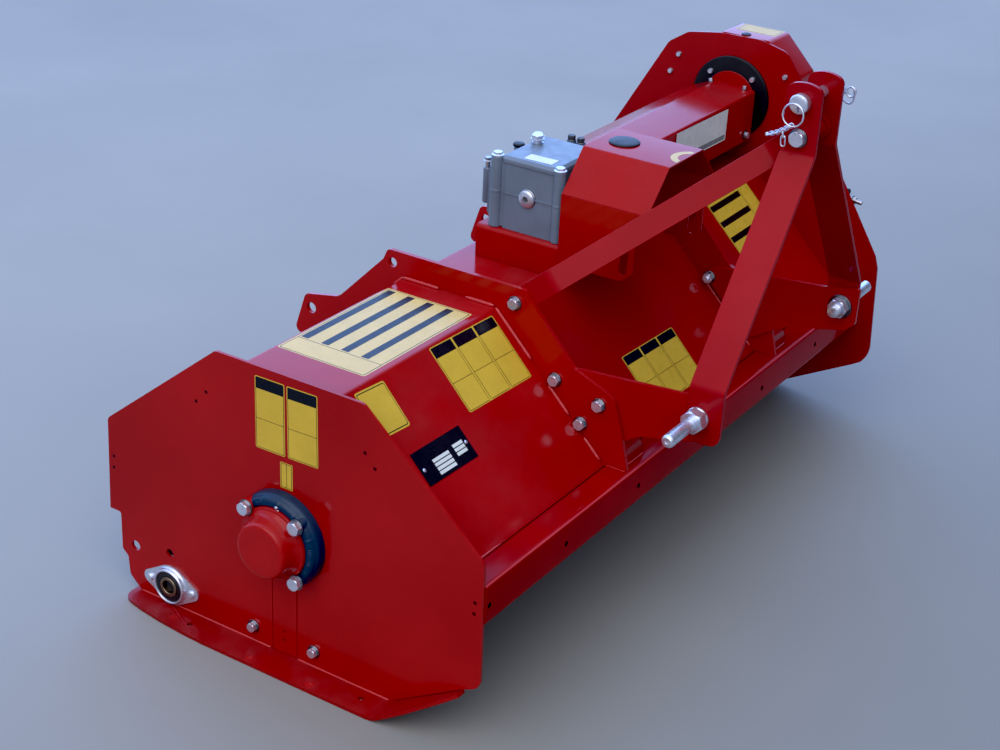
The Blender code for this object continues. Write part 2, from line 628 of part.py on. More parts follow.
def belt_loop(extra):
    """Open belt round both pulleys at a given height above their grooves."""
    a = Vector((SHAFT_Y, SHAFT_Z))
    b = Vector((ROTOR_Y, ROTOR_Z))
    ra, rb = UPPER_R + extra, LOWER_R + extra
    d = b - a
    base_angle = math.atan2(d.y, d.x)
    lean = math.acos((ra - rb) / d.length)
    points = []
    steps = 14
    start, end = base_angle + lean, base_angle + 2 * math.pi - lean
    for k in range(steps + 1):
        t = start + (end - start) * k / steps
        points.append((a.x + ra * math.cos(t), a.y + ra * math.sin(t)))
    start, end = base_angle - lean, base_angle + lean
    for k in range(steps + 1):
        t = start + (end - start) * k / steps
        points.append((b.x + rb * math.cos(t), b.y + rb * math.sin(t)))
    return points


plate("drive_belt", "X", belt_loop(9.5), PULLEY_X0 + 5.0, PULLEY_X1 - PULLEY_X0 - 10.0, RUBBER, holes=[belt_loop(0.8)])

# idler against the back of the belt, on a bolted arm
a, b = Vector((SHAFT_Y, SHAFT_Z)), Vector((ROTOR_Y, ROTOR_Z))
d = b - a
lean = math.acos((UPPER_R - LOWER_R) / d.length)
normal_angle = math.atan2(d.y, d.x) + lean
normal = Vector((math.cos(normal_angle), math.sin(normal_angle)))
touch = (a + normal * UPPER_R + b + normal * LOWER_R) / 2
IDLER_R = 20.0
idler = touch + normal * (9.5 + GAP + IDLER_R)
turned("tension_pulley",
       [(IDLER_R, PULLEY_X1 - 4), (IDLER_R, PULLEY_X0 + 4), (8.4, PULLEY_X0 + 4), (8.4, PULLEY_X1 - 4), (IDLER_R, PULLEY_X1 - 4)],
       "X", (0, idler.x, idler.y), FORGED, 24)
arm = rod("tensioner_arm", "X", (X_LEFT + PLATE_T + GAP, idler.x, idler.y), PULLEY_X1 - X_LEFT - PLATE_T + 2, 8.0, ZINC, 20)
link_bar = box("union_arm_bar", (X_LEFT + PLATE_T + GAP, idler.x - 16, idler.y - 60), (X_LEFT + PLATE_T + 10, idler.x + 16, idler.y + 18),
               None, cutter=True)
cut(arm, link_bar, "UNION")

COVER = [(20, 745), (-84, 745), (-150, 678), (-152, 560), (-88, 150), (-48, 116), (102, 116), (140, 150), (140, 560), (108, 676)]
bm = bmesh.new()
outer = [bm.verts.new((COVER_X * MM, y * MM, z * MM)) for y, z in COVER]
inner = [bm.verts.new(((X_LEFT + PLATE_T + GAP) * MM, y * MM, z * MM)) for y, z in COVER]
bm.faces.new(outer)
for i in range(len(COVER)):
    j = (i + 1) % len(COVER)
    bm.faces.new((outer[i], inner[i], inner[j], outer[j]))
bmesh.ops.recalc_face_normals(bm, faces=bm.faces)
cover_mesh = bpy.data.meshes.new("belt_cover")
bm.to_mesh(cover_mesh)
bm.free()
belt_cover = link("belt_cover", cover_mesh, RED)
sheet = belt_cover.modifiers.new("sheet", "SOLIDIFY")
sheet.thickness = 3.0 * MM
sheet.offset = -1.0
sheet.use_even_offset = True

# ---- rotor ------------------------------------------------------------------
rotor_axis = bpy.data.objects.new("rotor_axis", None)
parts.objects.link(rotor_axis)
rotor_axis.parent = datum
rotor_axis.location = Vector((0, ROTOR_Y, ROTOR_Z)) * MM

rotor = turned(
    "rotor",
    [(0, PULLEY_X1 + 6), (14, PULLEY_X1 + 6), (16, PULLEY_X1 + 3), (16, 1394), (20, 1392), (20, 1352), (ROTOR_R, 1352),
     (ROTOR_R, 18), (20, 18), (20, -8), (17, -9), (17, -50), (0, -50)],
    "X", (0, 0, 0), RED, 20, parent=rotor_axis,
)
lugs = bpy.data.collections.new("rotor_lugs")
cutters.children.link(lugs)


def into(obj, collection):
    for home in list(obj.users_collection):
        home.objects.unlink(obj)
    collection.objects.link(obj)
    return obj


LUG_IN, LUG_OUT = 20.0, 30.0  # inner and outer faces of a lug from the station
stations = []
for k in range(HAMMERS):
    x = HAMMER_X0 + HAMMER_PITCH * k
    side = -1.0 if k % 2 == 0 else 1.0  # row at the front, row at the rear
    stations.append((x, side))
    for s in (-1.0, 1.0):
        x0 = x + s * (LUG_IN + LUG_OUT) / 2
        lug = [(side * 40, -24), (side * 40, 24), (side * 80, 21), (side * 96, 12), (side * 101, 0),
               (side * 96, -12), (side * 80, -21)]
        into(as_mesh(plate(f"union_lug_{k}_{'a' if s < 0 else 'b'}", "X", lug, x0 - 5.0, 10.0, None,
                           parent=rotor_axis, cutter=True)), lugs)
    into(rod(f"union_pivot_{k}", "X", (x - LUG_OUT - 8, side * PIVOT_R, 0), 2 * LUG_OUT + 16, 8.0, None, 10,
             parent=rotor_axis, cutter=True), lugs)
drum_hollow = rod("cut_drum_hollow", "X", (26, 0, 0), 1318, ROTOR_R - 9.0, None, 20, parent=rotor_axis, cutter=True)
cut(rotor, drum_hollow)
drum_vent = rod("cut_drum_vent", "X", (10, 0, 35), 30, 5.0, None, 10, parent=rotor_axis, cutter=True)
cut(rotor, drum_vent)
mod = rotor.modifiers.new("lugs", "BOOLEAN")
mod.operation = "UNION"
mod.operand_type = "COLLECTION"
mod.collection = lugs
mod.solver = "EXACT"

# hammers hang from their pivots: T outline (x, -z) of the plate, thickness along Y
for k, (x, side) in enumerate(stations):
    half = LUG_IN - 1.0
    outline = rounded(
        [(-half, 17), (half, 17), (half, -52), (HAMMER_W / 2, -62), (HAMMER_W / 2, -HAMMER_L + 6), (HAMMER_W / 2 - 6, -HAMMER_L),
         (-HAMMER_W / 2 + 6, -HAMMER_L), (-HAMMER_W / 2, -HAMMER_L + 6), (-HAMMER_W / 2, -62), (-half, -52)],
        {0: 6, 1: 6, 2: 6, 9: 6}, 2,
    )
    hammer = plate(f"hammer_{k + 1:02d}", "Y", outline, -14.0, 28.0, FORGED, parent=rotor_axis)
    hammer.location = Vector((x, side * PIVOT_R, 0)) * MM
    hammer = as_mesh(hammer)
    eye = rod(f"cut_eye_{k + 1:02d}", "X", (x - 40, side * PIVOT_R, 0), 80, 8.6, None, 16, parent=rotor_axis, cutter=True)
    cut(hammer, eye)

# bearing housings: a cup at the plain end, an open flange at the belt end
turned(
    "right_bearing_housing",
    [(0, 61), (44, 61), (47, 58), (48.5, 50), (52, 40), (59, 33), (62, 30), (62, GAP),
     (26, GAP), (26, 10), (18, 12), (18, 54), (0, 54)],
    "X", (X_RIGHT, ROTOR_Y, ROTOR_Z), RED, 24,
).rotation_euler = (0, -math.pi / 2, 0)
turned(
    "left_bearing_housing",
    [(34, 20), (40, 18), (46, 8), (62, 6), (62, 0), (21, 0), (21, 20), (34, 20)],
    "X", (X_LEFT + PLATE_T + GAP, ROTOR_Y, ROTOR_Z), FORGED, 24,
)
ring_pts = []
for r, order in ((81.0, 1), (64.0, -1)):
    angles = [math.radians(52.0 + 188.0 * k / 22) for k in range(23)][::order]
    ring_pts += [(ROTOR_Y + r * math.cos(t), ROTOR_Z + r * math.sin(t)) for t in angles]
plate("half_ring_guard", "X", ring_pts, X_RIGHT - 16.0 - GAP, 16.0, NAVY)

# ---- roller -----------------------------------------------------------------
roller = turned(
    "roller",
    [(0, 1384), (11, 1384), (12, 1382), (12, ROLLER_X1), (ROLLER_R, ROLLER_X1), (ROLLER_R, ROLLER_X0), (12, ROLLER_X0),
     (12, -6), (0, -6)],
    "X", (0, ROLLER_Y, ROLLER_Z), RED, 28,
)
drill(roller, "X", (ROLLER_X0 + 8, ROLLER_Y, ROLLER_Z), ROLLER_X1 - ROLLER_X0 - 16, ROLLER_R - 5.0, 28)
drill(roller, "X", (ROLLER_X0 - 10, ROLLER_Y, ROLLER_Z + 26), 24, 4.0, 10)
OVAL = []
for k in range(32):
    t = 2 * math.pi * k / 32
    c, s = math.cos(t), math.sin(t)
    OVAL.append((ROLLER_Y + 62.0 * math.copysign(abs(c) ** 1.35, c), ROLLER_Z + 35.5 * math.copysign(abs(s) ** 0.95, s)))
plate("right_roller_bearing", "X", OVAL, X_RIGHT - 12.0 - GAP, 12.0, ZINC,
      holes=[circle(ROLLER_Y, ROLLER_Z, 12.6, 24)])
plate("left_roller_bearing", "X", OVAL, X_LEFT + PLATE_T + GAP, 12.0, ZINC,
      holes=[circle(ROLLER_Y, ROLLER_Z, 12.6, 24)])

bpy.context.view_layer.update()
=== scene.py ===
import math

import bmesh
import bpy
from mathutils import Matrix, Vector
from mathutils.geometry import tessellate_polygon


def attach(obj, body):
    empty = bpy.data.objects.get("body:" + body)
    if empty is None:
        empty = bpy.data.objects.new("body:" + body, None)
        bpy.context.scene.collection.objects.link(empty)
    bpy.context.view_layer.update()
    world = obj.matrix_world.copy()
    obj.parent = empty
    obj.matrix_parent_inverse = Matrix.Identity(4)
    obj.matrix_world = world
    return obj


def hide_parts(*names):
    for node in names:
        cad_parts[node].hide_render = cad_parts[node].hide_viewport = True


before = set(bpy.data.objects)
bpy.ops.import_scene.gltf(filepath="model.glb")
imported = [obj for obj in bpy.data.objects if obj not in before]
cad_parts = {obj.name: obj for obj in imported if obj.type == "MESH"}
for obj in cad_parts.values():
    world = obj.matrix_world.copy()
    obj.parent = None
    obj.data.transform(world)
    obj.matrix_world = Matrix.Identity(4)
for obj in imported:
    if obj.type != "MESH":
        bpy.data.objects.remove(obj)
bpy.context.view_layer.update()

# Millimetres from the plain end plate (x), a vertical reference plane (y) and the ground (z).
DATUM = Vector((-702.0, 55.2, 0.0))
MM = 0.001
HX = 709.5  # plane of symmetry of the hitch
ROTOR = (26.0, 226.0)
SHAFT = (-16.0, 618.0)
ROLLER = (266.0, 42.8)


def W(x, y, z):
    return (Vector((x, y, z)) + DATUM) * MM


def mir(x):
    return 2 * HX - x


# =============================================================================
# camera, light, floor
# =============================================================================
CAM_ROWS = (
    (0.547737, -0.835331, 0.046963),
    (-0.346786, -0.277758, -0.895874),
    (0.761396, 0.474417, -0.441820),
)
CAM_POS = (-1881.7, -1526.1, 1715.6)
CAM_F = 1816.6

cam_data = bpy.data.cameras.new("photo_camera")
cam_data.sensor_fit = "HORIZONTAL"
cam_data.sensor_width = 36.0
cam_data.lens = CAM_F / 1000.0 * 36.0
cam_data.clip_start = 0.05
cam_data.clip_end = 60.0
cam = bpy.data.objects.new("photo_camera", cam_data)
bpy.context.scene.collection.objects.link(cam)
right, down, ahead = (Vector(r).normalized() for r in CAM_ROWS)
turn = Matrix((right, -down, -ahead)).transposed()
cam.matrix_world = Matrix.Translation(W(*CAM_POS)) @ turn.to_4x4()
bpy.context.scene.camera = cam
bpy.context.scene.view_settings.view_transform = "Standard"
bpy.context.scene.view_settings.look = "None"
view = bpy.context.scene.view_settings
view.use_curve_mapping = True
view.curve_mapping.black_level = (0.0135, 0.0135, 0.0135)
view.curve_mapping.update()


# =============================================================================
# materials
# =============================================================================
class Nodes:
    """Small helper round a material's node tree."""

    def __init__(self, name, color=(0.5, 0.5, 0.5), rough=0.4, metal=0.0):
        self.mat = bpy.data.materials.new(name)
        self.mat.use_nodes = True
        self.mat.diffuse_color = (*color, 1)
        self.t = self.mat.node_tree
        self.bsdf = self.t.nodes["Principled BSDF"]
        self.out = self.t.nodes["Material Output"]
        self.bsdf.inputs["Base Color"].default_value = (*color, 1)
        self.bsdf.inputs["Roughness"].default_value = rough
        self.bsdf.inputs["Metallic"].default_value = metal
        self.co = self.add("ShaderNodeTexCoord").outputs["Object"]

    def add(self, kind, **props):
        node = self.t.nodes.new(kind)
        for key, value in props.items():
            setattr(node, key, value)
        return node

    def put(self, node, key, value):
        if hasattr(value, "links") or isinstance(value, bpy.types.NodeSocket):
            self.t.links.new(value, node.inputs[key])
        else:
            node.inputs[key].default_value = value

    def noise(self, scale, detail=4.0, rough=0.55, vec=None, distortion=0.0):
        n = self.add("ShaderNodeTexNoise")
        self.put(n, "Vector", vec or self.co)
        n.inputs["Scale"].default_value = scale
        n.inputs["Detail"].default_value = detail
        n.inputs["Roughness"].default_value = rough
        n.inputs["Distortion"].default_value = distortion
        return n.outputs["Fac"]

    def voronoi(self, scale, vec=None, feature="F1", out="Distance"):
        n = self.add("ShaderNodeTexVoronoi", feature=feature)
        self.put(n, "Vector", vec or self.co)
        n.inputs["Scale"].default_value = scale
        return n.outputs[out]

    def ramp(self, fac, stops, smooth=False):
        n = self.add("ShaderNodeValToRGB")
        el = n.color_ramp.elements
        while len(el) < len(stops):
            el.new(0.5)
        for e, (pos, col) in zip(el, stops):
            e.position = pos
            e.color = (*col, 1) if len(col) == 3 else col
        if smooth:
            n.color_ramp.interpolation = "EASE"
        self.put(n, "Fac", fac)
        return n.outputs["Color"]

    def range(self, fac, a, b, c, d):
        n = self.add("ShaderNodeMapRange")
        self.put(n, "Value", fac)
        for key, v in (("From Min", a), ("From Max", b), ("To Min", c), ("To Max", d)):
            self.put(n, key, v)
        return n.outputs["Result"]

    def math(self, op, a, b=None, clamp=False):
        n = self.add("ShaderNodeMath", operation=op)
        n.use_clamp = clamp
        self.put(n, 0, a)
        if b is not None:
            self.put(n, 1, b)
        return n.outputs[0]

    def mix(self, fac, a, b, blend="MIX"):
        n = self.add("ShaderNodeMix", data_type="RGBA", blend_type=blend)
        for key, value in ((0, fac), (6, a), (7, b)):
            if isinstance(value, bpy.types.NodeSocket):
                self.t.links.new(value, n.inputs[key])
            elif key == 0:
                n.inputs[0].default_value = value
            else:
                n.inputs[key].default_value = (*value, 1) if len(value) == 3 else value
        return n.outputs[2]

    def mapped(self, scale=(1, 1, 1), loc=(0, 0, 0), rot=(0, 0, 0), vec=None):
        n = self.add("ShaderNodeMapping")
        self.put(n, "Vector", vec or self.co)
        n.inputs["Scale"].default_value = scale
        n.inputs["Location"].default_value = loc
        n.inputs["Rotation"].default_value = rot
        return n.outputs["Vector"]

    def split(self, vec=None):
        n = self.add("ShaderNodeSeparateXYZ")
        self.put(n, 0, vec or self.co)
        return n.outputs[0], n.outputs[1], n.outputs[2]

    def normal_up(self):
        g = self.add("ShaderNodeNewGeometry")
        s = self.add("ShaderNodeSeparateXYZ")
        self.t.links.new(g.outputs["Normal"], s.inputs[0])
        return s.outputs[2]

    def bump(self, height, strength=0.1, distance=0.001):
        n = self.add("ShaderNodeBump")
        n.inputs["Strength"].default_value = strength
        n.inputs["Distance"].default_value = distance
        self.put(n, "Height", height)
        self.t.links.new(n.outputs["Normal"], self.bsdf.inputs["Normal"])
        return n

    def color(self, value):
        self.put(self.bsdf, "Base Color", value)

    def rough(self, value):
        self.put(self.bsdf, "Roughness", value)

    def coat(self, weight, rough):
        self.bsdf.inputs["Coat Weight"].default_value = weight
        self.bsdf.inputs["Coat Roughness"].default_value = rough


def red_paint(name, base=(0.352, 0.0125, 0.0115), dust=0.3, rough=(0.11, 0.19), spec=0.19):
    n = Nodes(name, base, 0.3)
    big = n.noise(3.1, 3, 0.5)
    mid = n.noise(17.0, 5, 0.6)
    fine = n.noise(420.0, 2, 0.5)
    a = tuple(c * 0.86 for c in base)
    b = (base[0] * 1.1, base[1] * 1.15, base[2] * 1.15)
    col = n.mix(n.range(big, 0.35, 0.65, 0.0, 1.0), a, b)
    col = n.mix(n.range(mid, 0.3, 0.75, 0.0, 0.35), col, (base[0] * 0.8, base[1], base[2]))
    # a light film of dust on what faces up, thinner where it was wiped
    up = n.range(n.normal_up(), 0.45, 1.0, 0.0, 1.0)
    film = n.math("MULTIPLY", up, n.range(n.noise(9.0, 6, 0.7), 0.42, 0.75, 0.02, dust))
    film = n.math("MULTIPLY", film, 0.22)
    col = n.mix(film, col, (0.3, 0.22, 0.24))
    specks = n.range(n.voronoi(95.0), 0.0, 0.035, 0.5, 0.0)
    specks = n.math("MULTIPLY", specks, n.range(n.noise(6.0, 3), 0.5, 0.62, 0.0, 0.7))
    col = n.mix(specks, col, (0.34, 0.28, 0.27))
    n.color(col)
    r = n.range(mid, 0.25, 0.8, *rough)
    r = n.math("ADD", r, n.math("MULTIPLY", film, 0.4))
    n.rough(n.math("ADD", r, n.math("MULTIPLY", specks, 0.4)))
    n.bsdf.inputs["Specular IOR Level"].default_value = spec
    n.coat(0.08 * spec / 0.25, 0.06)
    # orange peel of the sprayed coat over the rolled sheet
    h = n.math("ADD", n.math("MULTIPLY", n.noise(260.0, 2, 0.5), 0.7), n.math("MULTIPLY", fine, 0.3))
    h = n.math("ADD", h, n.math("MULTIPLY", n.noise(24.0, 3, 0.5), 1.2))
    n.bump(h, 0.09, 0.0006)
    return n.mat


RED = red_paint("red_sheet")
RED_BAR = red_paint("red_bar", (0.31, 0.0115, 0.015), 0.3, spec=0.08)
# painted shade: a darker copy of the red paint for the drive end plate
RED_SHADED = red_paint("red_painted_shade", (0.315, 0.0105, 0.0105), 0.3, spec=0.19)
RED_ROOF = red_paint("red_roof", (0.345, 0.0125, 0.0115), 0.3, spec=0.13)
# painted highlight: a brighter, glossier red for weld beads so they show as light lines
RED_SEAM_HIGHLIGHT = red_paint("red_seam_highlight", (0.46, 0.035, 0.035), 0.2, (0.12, 0.2), 0.4)
RED_WORN = red_paint("red_worn", (0.275, 0.0095, 0.0085), 0.4, (0.26, 0.38))
RED_ROTOR = red_paint("red_rotor", (0.24, 0.008, 0.008), 0.6)


def zinc(name, base=(0.76, 0.80, 0.90), tint=(0.62, 0.66, 0.80), metal=0.84):
    n = Nodes(name, base, 0.26, metal)
    blot = n.noise(45.0, 4, 0.6)
    col = n.mix(n.range(blot, 0.3, 0.7, 0, 1), base, tint)
    col = n.mix(n.range(n.noise(160.0, 3), 0.55, 0.75, 0, 0.5), col, (0.36, 0.35, 0.34))
    n.color(col)
    n.rough(n.range(n.noise(90.0, 4), 0.3, 0.75, 0.18, 0.42))
    lines = n.noise(60.0, 2, 0.5, n.mapped((1, 1, 14)))
    n.bump(n.math("ADD", n.noise(700.0, 2), lines), 0.12, 0.0004)
    return n.mat


ZINC = zinc("zinc_plate")
ZINC_DARK = zinc("zinc_worn", (0.5, 0.5, 0.5), (0.4, 0.38, 0.42), 1.0)
# washers in darker zinc: partly their own duller zinc, partly painted shade round the bolt heads
WASHER_SHADE = zinc("zinc_washer_shade", (0.22, 0.22, 0.23), (0.16, 0.155, 0.17), 1.0)
RED_BEAM = red_paint("red_beam", (0.30, 0.0085, 0.0082), 0.12, spec=0.06)
# painted highlight: bright glossy red for the strip on the beam's top corner
RED_EDGE_HIGHLIGHT = red_paint("red_edge_highlight", (0.52, 0.05, 0.06), 0.1, (0.16, 0.24), 0.42)
CHROMATE = zinc("chromate_plate", (0.66, 0.6, 0.55), (0.6, 0.48, 0.5))


def cast(name, base=(0.135, 0.165, 0.205)):
    n = Nodes(name, base, 0.42)
    col = n.mix(n.range(n.noise(12.0, 4), 0.3, 0.7, 0, 1), tuple(c * 0.88 for c in base), tuple(c * 1.12 for c in base))
    col = n.mix(n.range(n.noise(150.0, 3), 0.6, 0.8, 0, 0.3), col, tuple(c * 0.6 for c in base))
    n.color(col)
    n.rough(n.range(n.noise(60.0, 4), 0.3, 0.75, 0.32, 0.55))
    n.coat(0.25, 0.2)
    n.bump(n.math("ADD", n.noise(520.0, 4, 0.7), n.math("MULTIPLY", n.noise(70.0, 3), 1.6)), 0.28, 0.0006)
    return n.mat


CAST = cast("grey_casting", (0.135, 0.17, 0.225))


def steel(name, base, rough=(0.25, 0.45), rust=0.0, axis=(1, 30, 30)):
    n = Nodes(name, base, 0.35, 1.0)
    col = n.mix(n.range(n.noise(30.0, 5), 0.3, 0.75, 0, 1), base, tuple(c * 0.75 for c in base))
    if rust:
        mask = n.range(n.noise(38.0, 6, 0.7), 0.62 - rust * 0.2, 0.72, 0, 0.85)
        col = n.mix(mask, col, (0.12, 0.045, 0.02))
        n.put(n.bsdf, "Metallic", n.range(mask, 0, 1, 1.0, 0.15))
    n.color(col)
    n.rough(n.range(n.noise(80.0, 4), 0.3, 0.75, *rough))
    n.bump(n.noise(22.0, 3, 0.6, n.mapped(axis)), 0.15, 0.0004)
    return n.mat


MACHINED = steel("machined_steel", (0.5, 0.5, 0.51))
FORGED = steel("forged_steel", (0.15, 0.145, 0.145), (0.45, 0.7), 0.35)
PULLEY = steel("pulley_iron", (0.17, 0.17, 0.175), (0.4, 0.6), 0.15)


def polymer(name, base, rough=(0.38, 0.55), grain=600.0, strength=0.12, spec=0.5):
    n = Nodes(name, base, 0.45)
    col = n.mix(n.range(n.noise(20.0, 4), 0.3, 0.7, 0, 1), base, tuple(min(1, c * 1.35 + 0.002) for c in base))
    up = n.range(n.normal_up(), 0.3, 1.0, 0.0, 0.25)
    col = n.mix(n.math("MULTIPLY", up, n.noise(14.0, 5)), col, tuple(0.12 + c for c in base))
    n.color(col)
    n.bsdf.inputs["Specular IOR Level"].default_value = spec
    n.rough(n.range(n.noise(70.0, 4), 0.3, 0.7, *rough))
    n.bump(n.noise(grain, 3, 0.6), strength, 0.0004)
    return n.mat


BLACK = polymer("black_polymer", (0.010, 0.011, 0.013), spec=0.28)
SEAL = polymer("black_seal", (0.010, 0.010, 0.011), (0.3, 0.45))
NAVY = polymer("navy_polymer", (0.004, 0.020, 0.052), (0.24, 0.36), 90.0, 0.3, 0.3)
RUBBER = polymer("belt_rubber", (0.02, 0.02, 0.02), (0.7, 0.85), 300.0, 0.3)
BRONZE = steel("inner_race", (0.33, 0.24, 0.17), (0.3, 0.45))


def finish_obj(name, mesh, mat, body, slot=None, node=(), bevel=0.0, segs=2, angle=38.0, smooth=True):
    obj = bpy.data.objects.new(name, mesh)
    bpy.context.scene.collection.objects.link(obj)
    if mat is not None and not mesh.materials:
        mesh.materials.append(mat)
    if bevel:
        mod = obj.modifiers.new("edges", "BEVEL")
        mod.width = bevel * MM
        mod.segments = segs
        mod.limit_method = "ANGLE"
        mod.angle_limit = math.radians(angle)
        mod.harden_normals = True
        mod.use_clamp_overlap = True
    if smooth:
        mesh.shade_smooth()
        mesh.set_sharp_from_angle(angle=math.radians(angle))
    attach(obj, body)
    for n in ([node] if isinstance(node, str) else node):
        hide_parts(n)
    return obj


def mesh_from(name, verts, faces, weld=0.0):
    mesh = bpy.data.meshes.new(name)
    bm = bmesh.new()
    vs = [bm.verts.new(v) for v in verts]
    for f in faces:
        try:
            bm.faces.new([vs[i] for i in f])
        except ValueError:
            pass
    if weld:
        bmesh.ops.remove_doubles(bm, verts=bm.verts, dist=weld)
    bmesh.ops.recalc_face_normals(bm, faces=bm.faces)
    bm.to_mesh(mesh)
    bm.free()
    return mesh


def prism_mesh(name, loops, place, lo, hi, dissolve=True):
    """Outline with holes, extruded between lo and hi; place(a, b, t) gives the point in mm."""
    bm = bmesh.new()
    rings = []
    for t in (lo, hi):
        rings.append([[bm.verts.new(W(*place(a, b, t))) for a, b in loop] for loop in loops])
    for li in range(len(loops)):
        n = len(loops[li])
        for i in range(n):
            j = (i + 1) % n
            bm.faces.new((rings[0][li][i], rings[0][li][j], rings[1][li][j], rings[1][li][i]))
    tris = tessellate_polygon([[Vector((a, b, 0)) for a, b in loop] for loop in loops])
    flat = [[v for loop in ring for v in loop] for ring in rings]
    caps = []
    for tri in tris:
        for side in (0, 1):
            vs = [flat[side][i] for i in tri]
            try:
                caps.append(bm.faces.new(vs))
            except ValueError:
                pass
    bmesh.ops.recalc_face_normals(bm, faces=bm.faces)
    mesh = bpy.data.meshes.new(name)
    bm.to_mesh(mesh)
    bm.free()
    return mesh


PLACE = {
    "X": lambda a, b, t: (t, a, b),
    "Y": lambda a, b, t: (a, t, b),
    "Z": lambda a, b, t: (a, b, t),
}


def plate(name, axis, outline, lo, hi, mat, body="frame", holes=(), bevel=0.7, segs=2, **kw):
    mesh = prism_mesh(name, [outline, *holes], PLACE[axis], lo, hi)
    return finish_obj(name, mesh, mat, body, bevel=bevel, segs=segs, **kw)


def rounded(points, radii, segments=6):
    out = []
    count = len(points)
    for i, point in enumerate(points):
        radius = radii.get(i, 0.0) if isinstance(radii, dict) else radii
        p = Vector(point)
        if not radius:
            out.append((p.x, p.y))
            continue
        a = Vector(points[i - 1]) - p
        b = Vector(points[(i + 1) % count]) - p
        la, lb = a.length, b.length
        a.normalize()
        b.normalize()
        half = a.angle(b) / 2
        reach = min(radius / math.tan(half), 0.48 * la, 0.48 * lb)
        r = reach * math.tan(half)
        centre = p + (a + b).normalized() * (r / math.sin(half))
        start = p + a * reach - centre
        swing = math.pi - 2 * half
        side = 1.0 if a.cross(b) < 0 else -1.0
        for k in range(segments + 1):
            ang = side * swing * k / segments
            c, s = math.cos(ang), math.sin(ang)
            out.append((centre.x + start.x * c - start.y * s, centre.y + start.x * s + start.y * c))
    return out


def circle(y, z, radius, sides=40, start=0.0):
    return [(y + radius * math.cos(start + 2 * math.pi * k / sides), z + radius * math.sin(start + 2 * math.pi * k / sides)) for k in range(sides)]


def slot_loop(y, z, length, width, angle=0.0, n=8):
    """Slot of overall length and width, turned by angle."""
    r = width / 2
    h = length / 2 - r
    pts = [(h + r * math.cos(-math.pi / 2 + math.pi * k / n), r * math.sin(-math.pi / 2 + math.pi * k / n)) for k in range(n + 1)]
    pts += [(-h + r * math.cos(math.pi / 2 + math.pi * k / n), r * math.sin(math.pi / 2 + math.pi * k / n)) for k in range(n + 1)]
    c, s = math.cos(angle), math.sin(angle)
    return [(y + a * c - b * s, z + a * s + b * c) for a, b in pts]


def bend_path(points, radius, segs=5):
    """An open path with its inner corners rounded."""
    out = [Vector(points[0])]
    for i in range(1, len(points) - 1):
        p = Vector(points[i])
        a = (Vector(points[i - 1]) - p)
        b = (Vector(points[i + 1]) - p)
        la, lb = a.length, b.length
        a.normalize()
        b.normalize()
        half = a.angle(b) / 2
        r = radius[i] if isinstance(radius, dict) else radius
        reach = min(r / math.tan(half), 0.45 * la, 0.45 * lb)
        r = reach * math.tan(half)
        centre = p + (a + b).normalized() * (r / math.sin(half))
        s = p + a * reach - centre
        e = p + b * reach - centre
        for k in range(segs + 1):
            t = k / segs
            ang = math.pi - 2 * half
            d = s.lerp(e, t)
            # slerp on the arc
            w0 = math.sin((1 - t) * ang) / math.sin(ang)
            w1 = math.sin(t * ang) / math.sin(ang)
            out.append(centre + s * w0 + e * w1)
    out.append(Vector(points[-1]))
    return out


def sheet_profile(points, thick, side, radius, segs=5):
    """Closed section of a folded sheet; side +1 puts the thickness left of the path."""
    path = bend_path(points, radius, segs)
    offs = []
    n = len(path)
    for i in range(n):
        if i == 0:
            d = (path[1] - path[0]).normalized()
            nor = Vector((-d.y, d.x))
            offs.append(path[i] + nor * thick * side)
        elif i == n - 1:
            d = (path[-1] - path[-2]).normalized()
            nor = Vector((-d.y, d.x))
            offs.append(path[i] + nor * thick * side)
        else:
            d0 = (path[i] - path[i - 1]).normalized()
            d1 = (path[i + 1] - path[i]).normalized()
            n0 = Vector((-d0.y, d0.x))
            n1 = Vector((-d1.y, d1.x))
            m = (n0 + n1).normalized()
            offs.append(path[i] + m * thick * side / max(0.3, m.dot(n0)))
    return [(p.x, p.y) for p in path] + [(p.x, p.y) for p in reversed(offs)]


def folded(name, axis, points, thick, side, lo, hi, mat, radius=6.0, segs=5, body="frame", bevel=0.6, **kw):
    return plate(name, axis, sheet_profile(points, thick, side, radius, segs), lo, hi, mat, body, bevel=bevel, **kw)


def ring_frame(axis_dir):
    z = Vector(axis_dir).normalized()
    x = Vector((0, 0, 1)) if abs(z.z) < 0.9 else Vector((1, 0, 0))
    x = (x - z * x.dot(z)).normalized()
    return x, z.cross(x), z


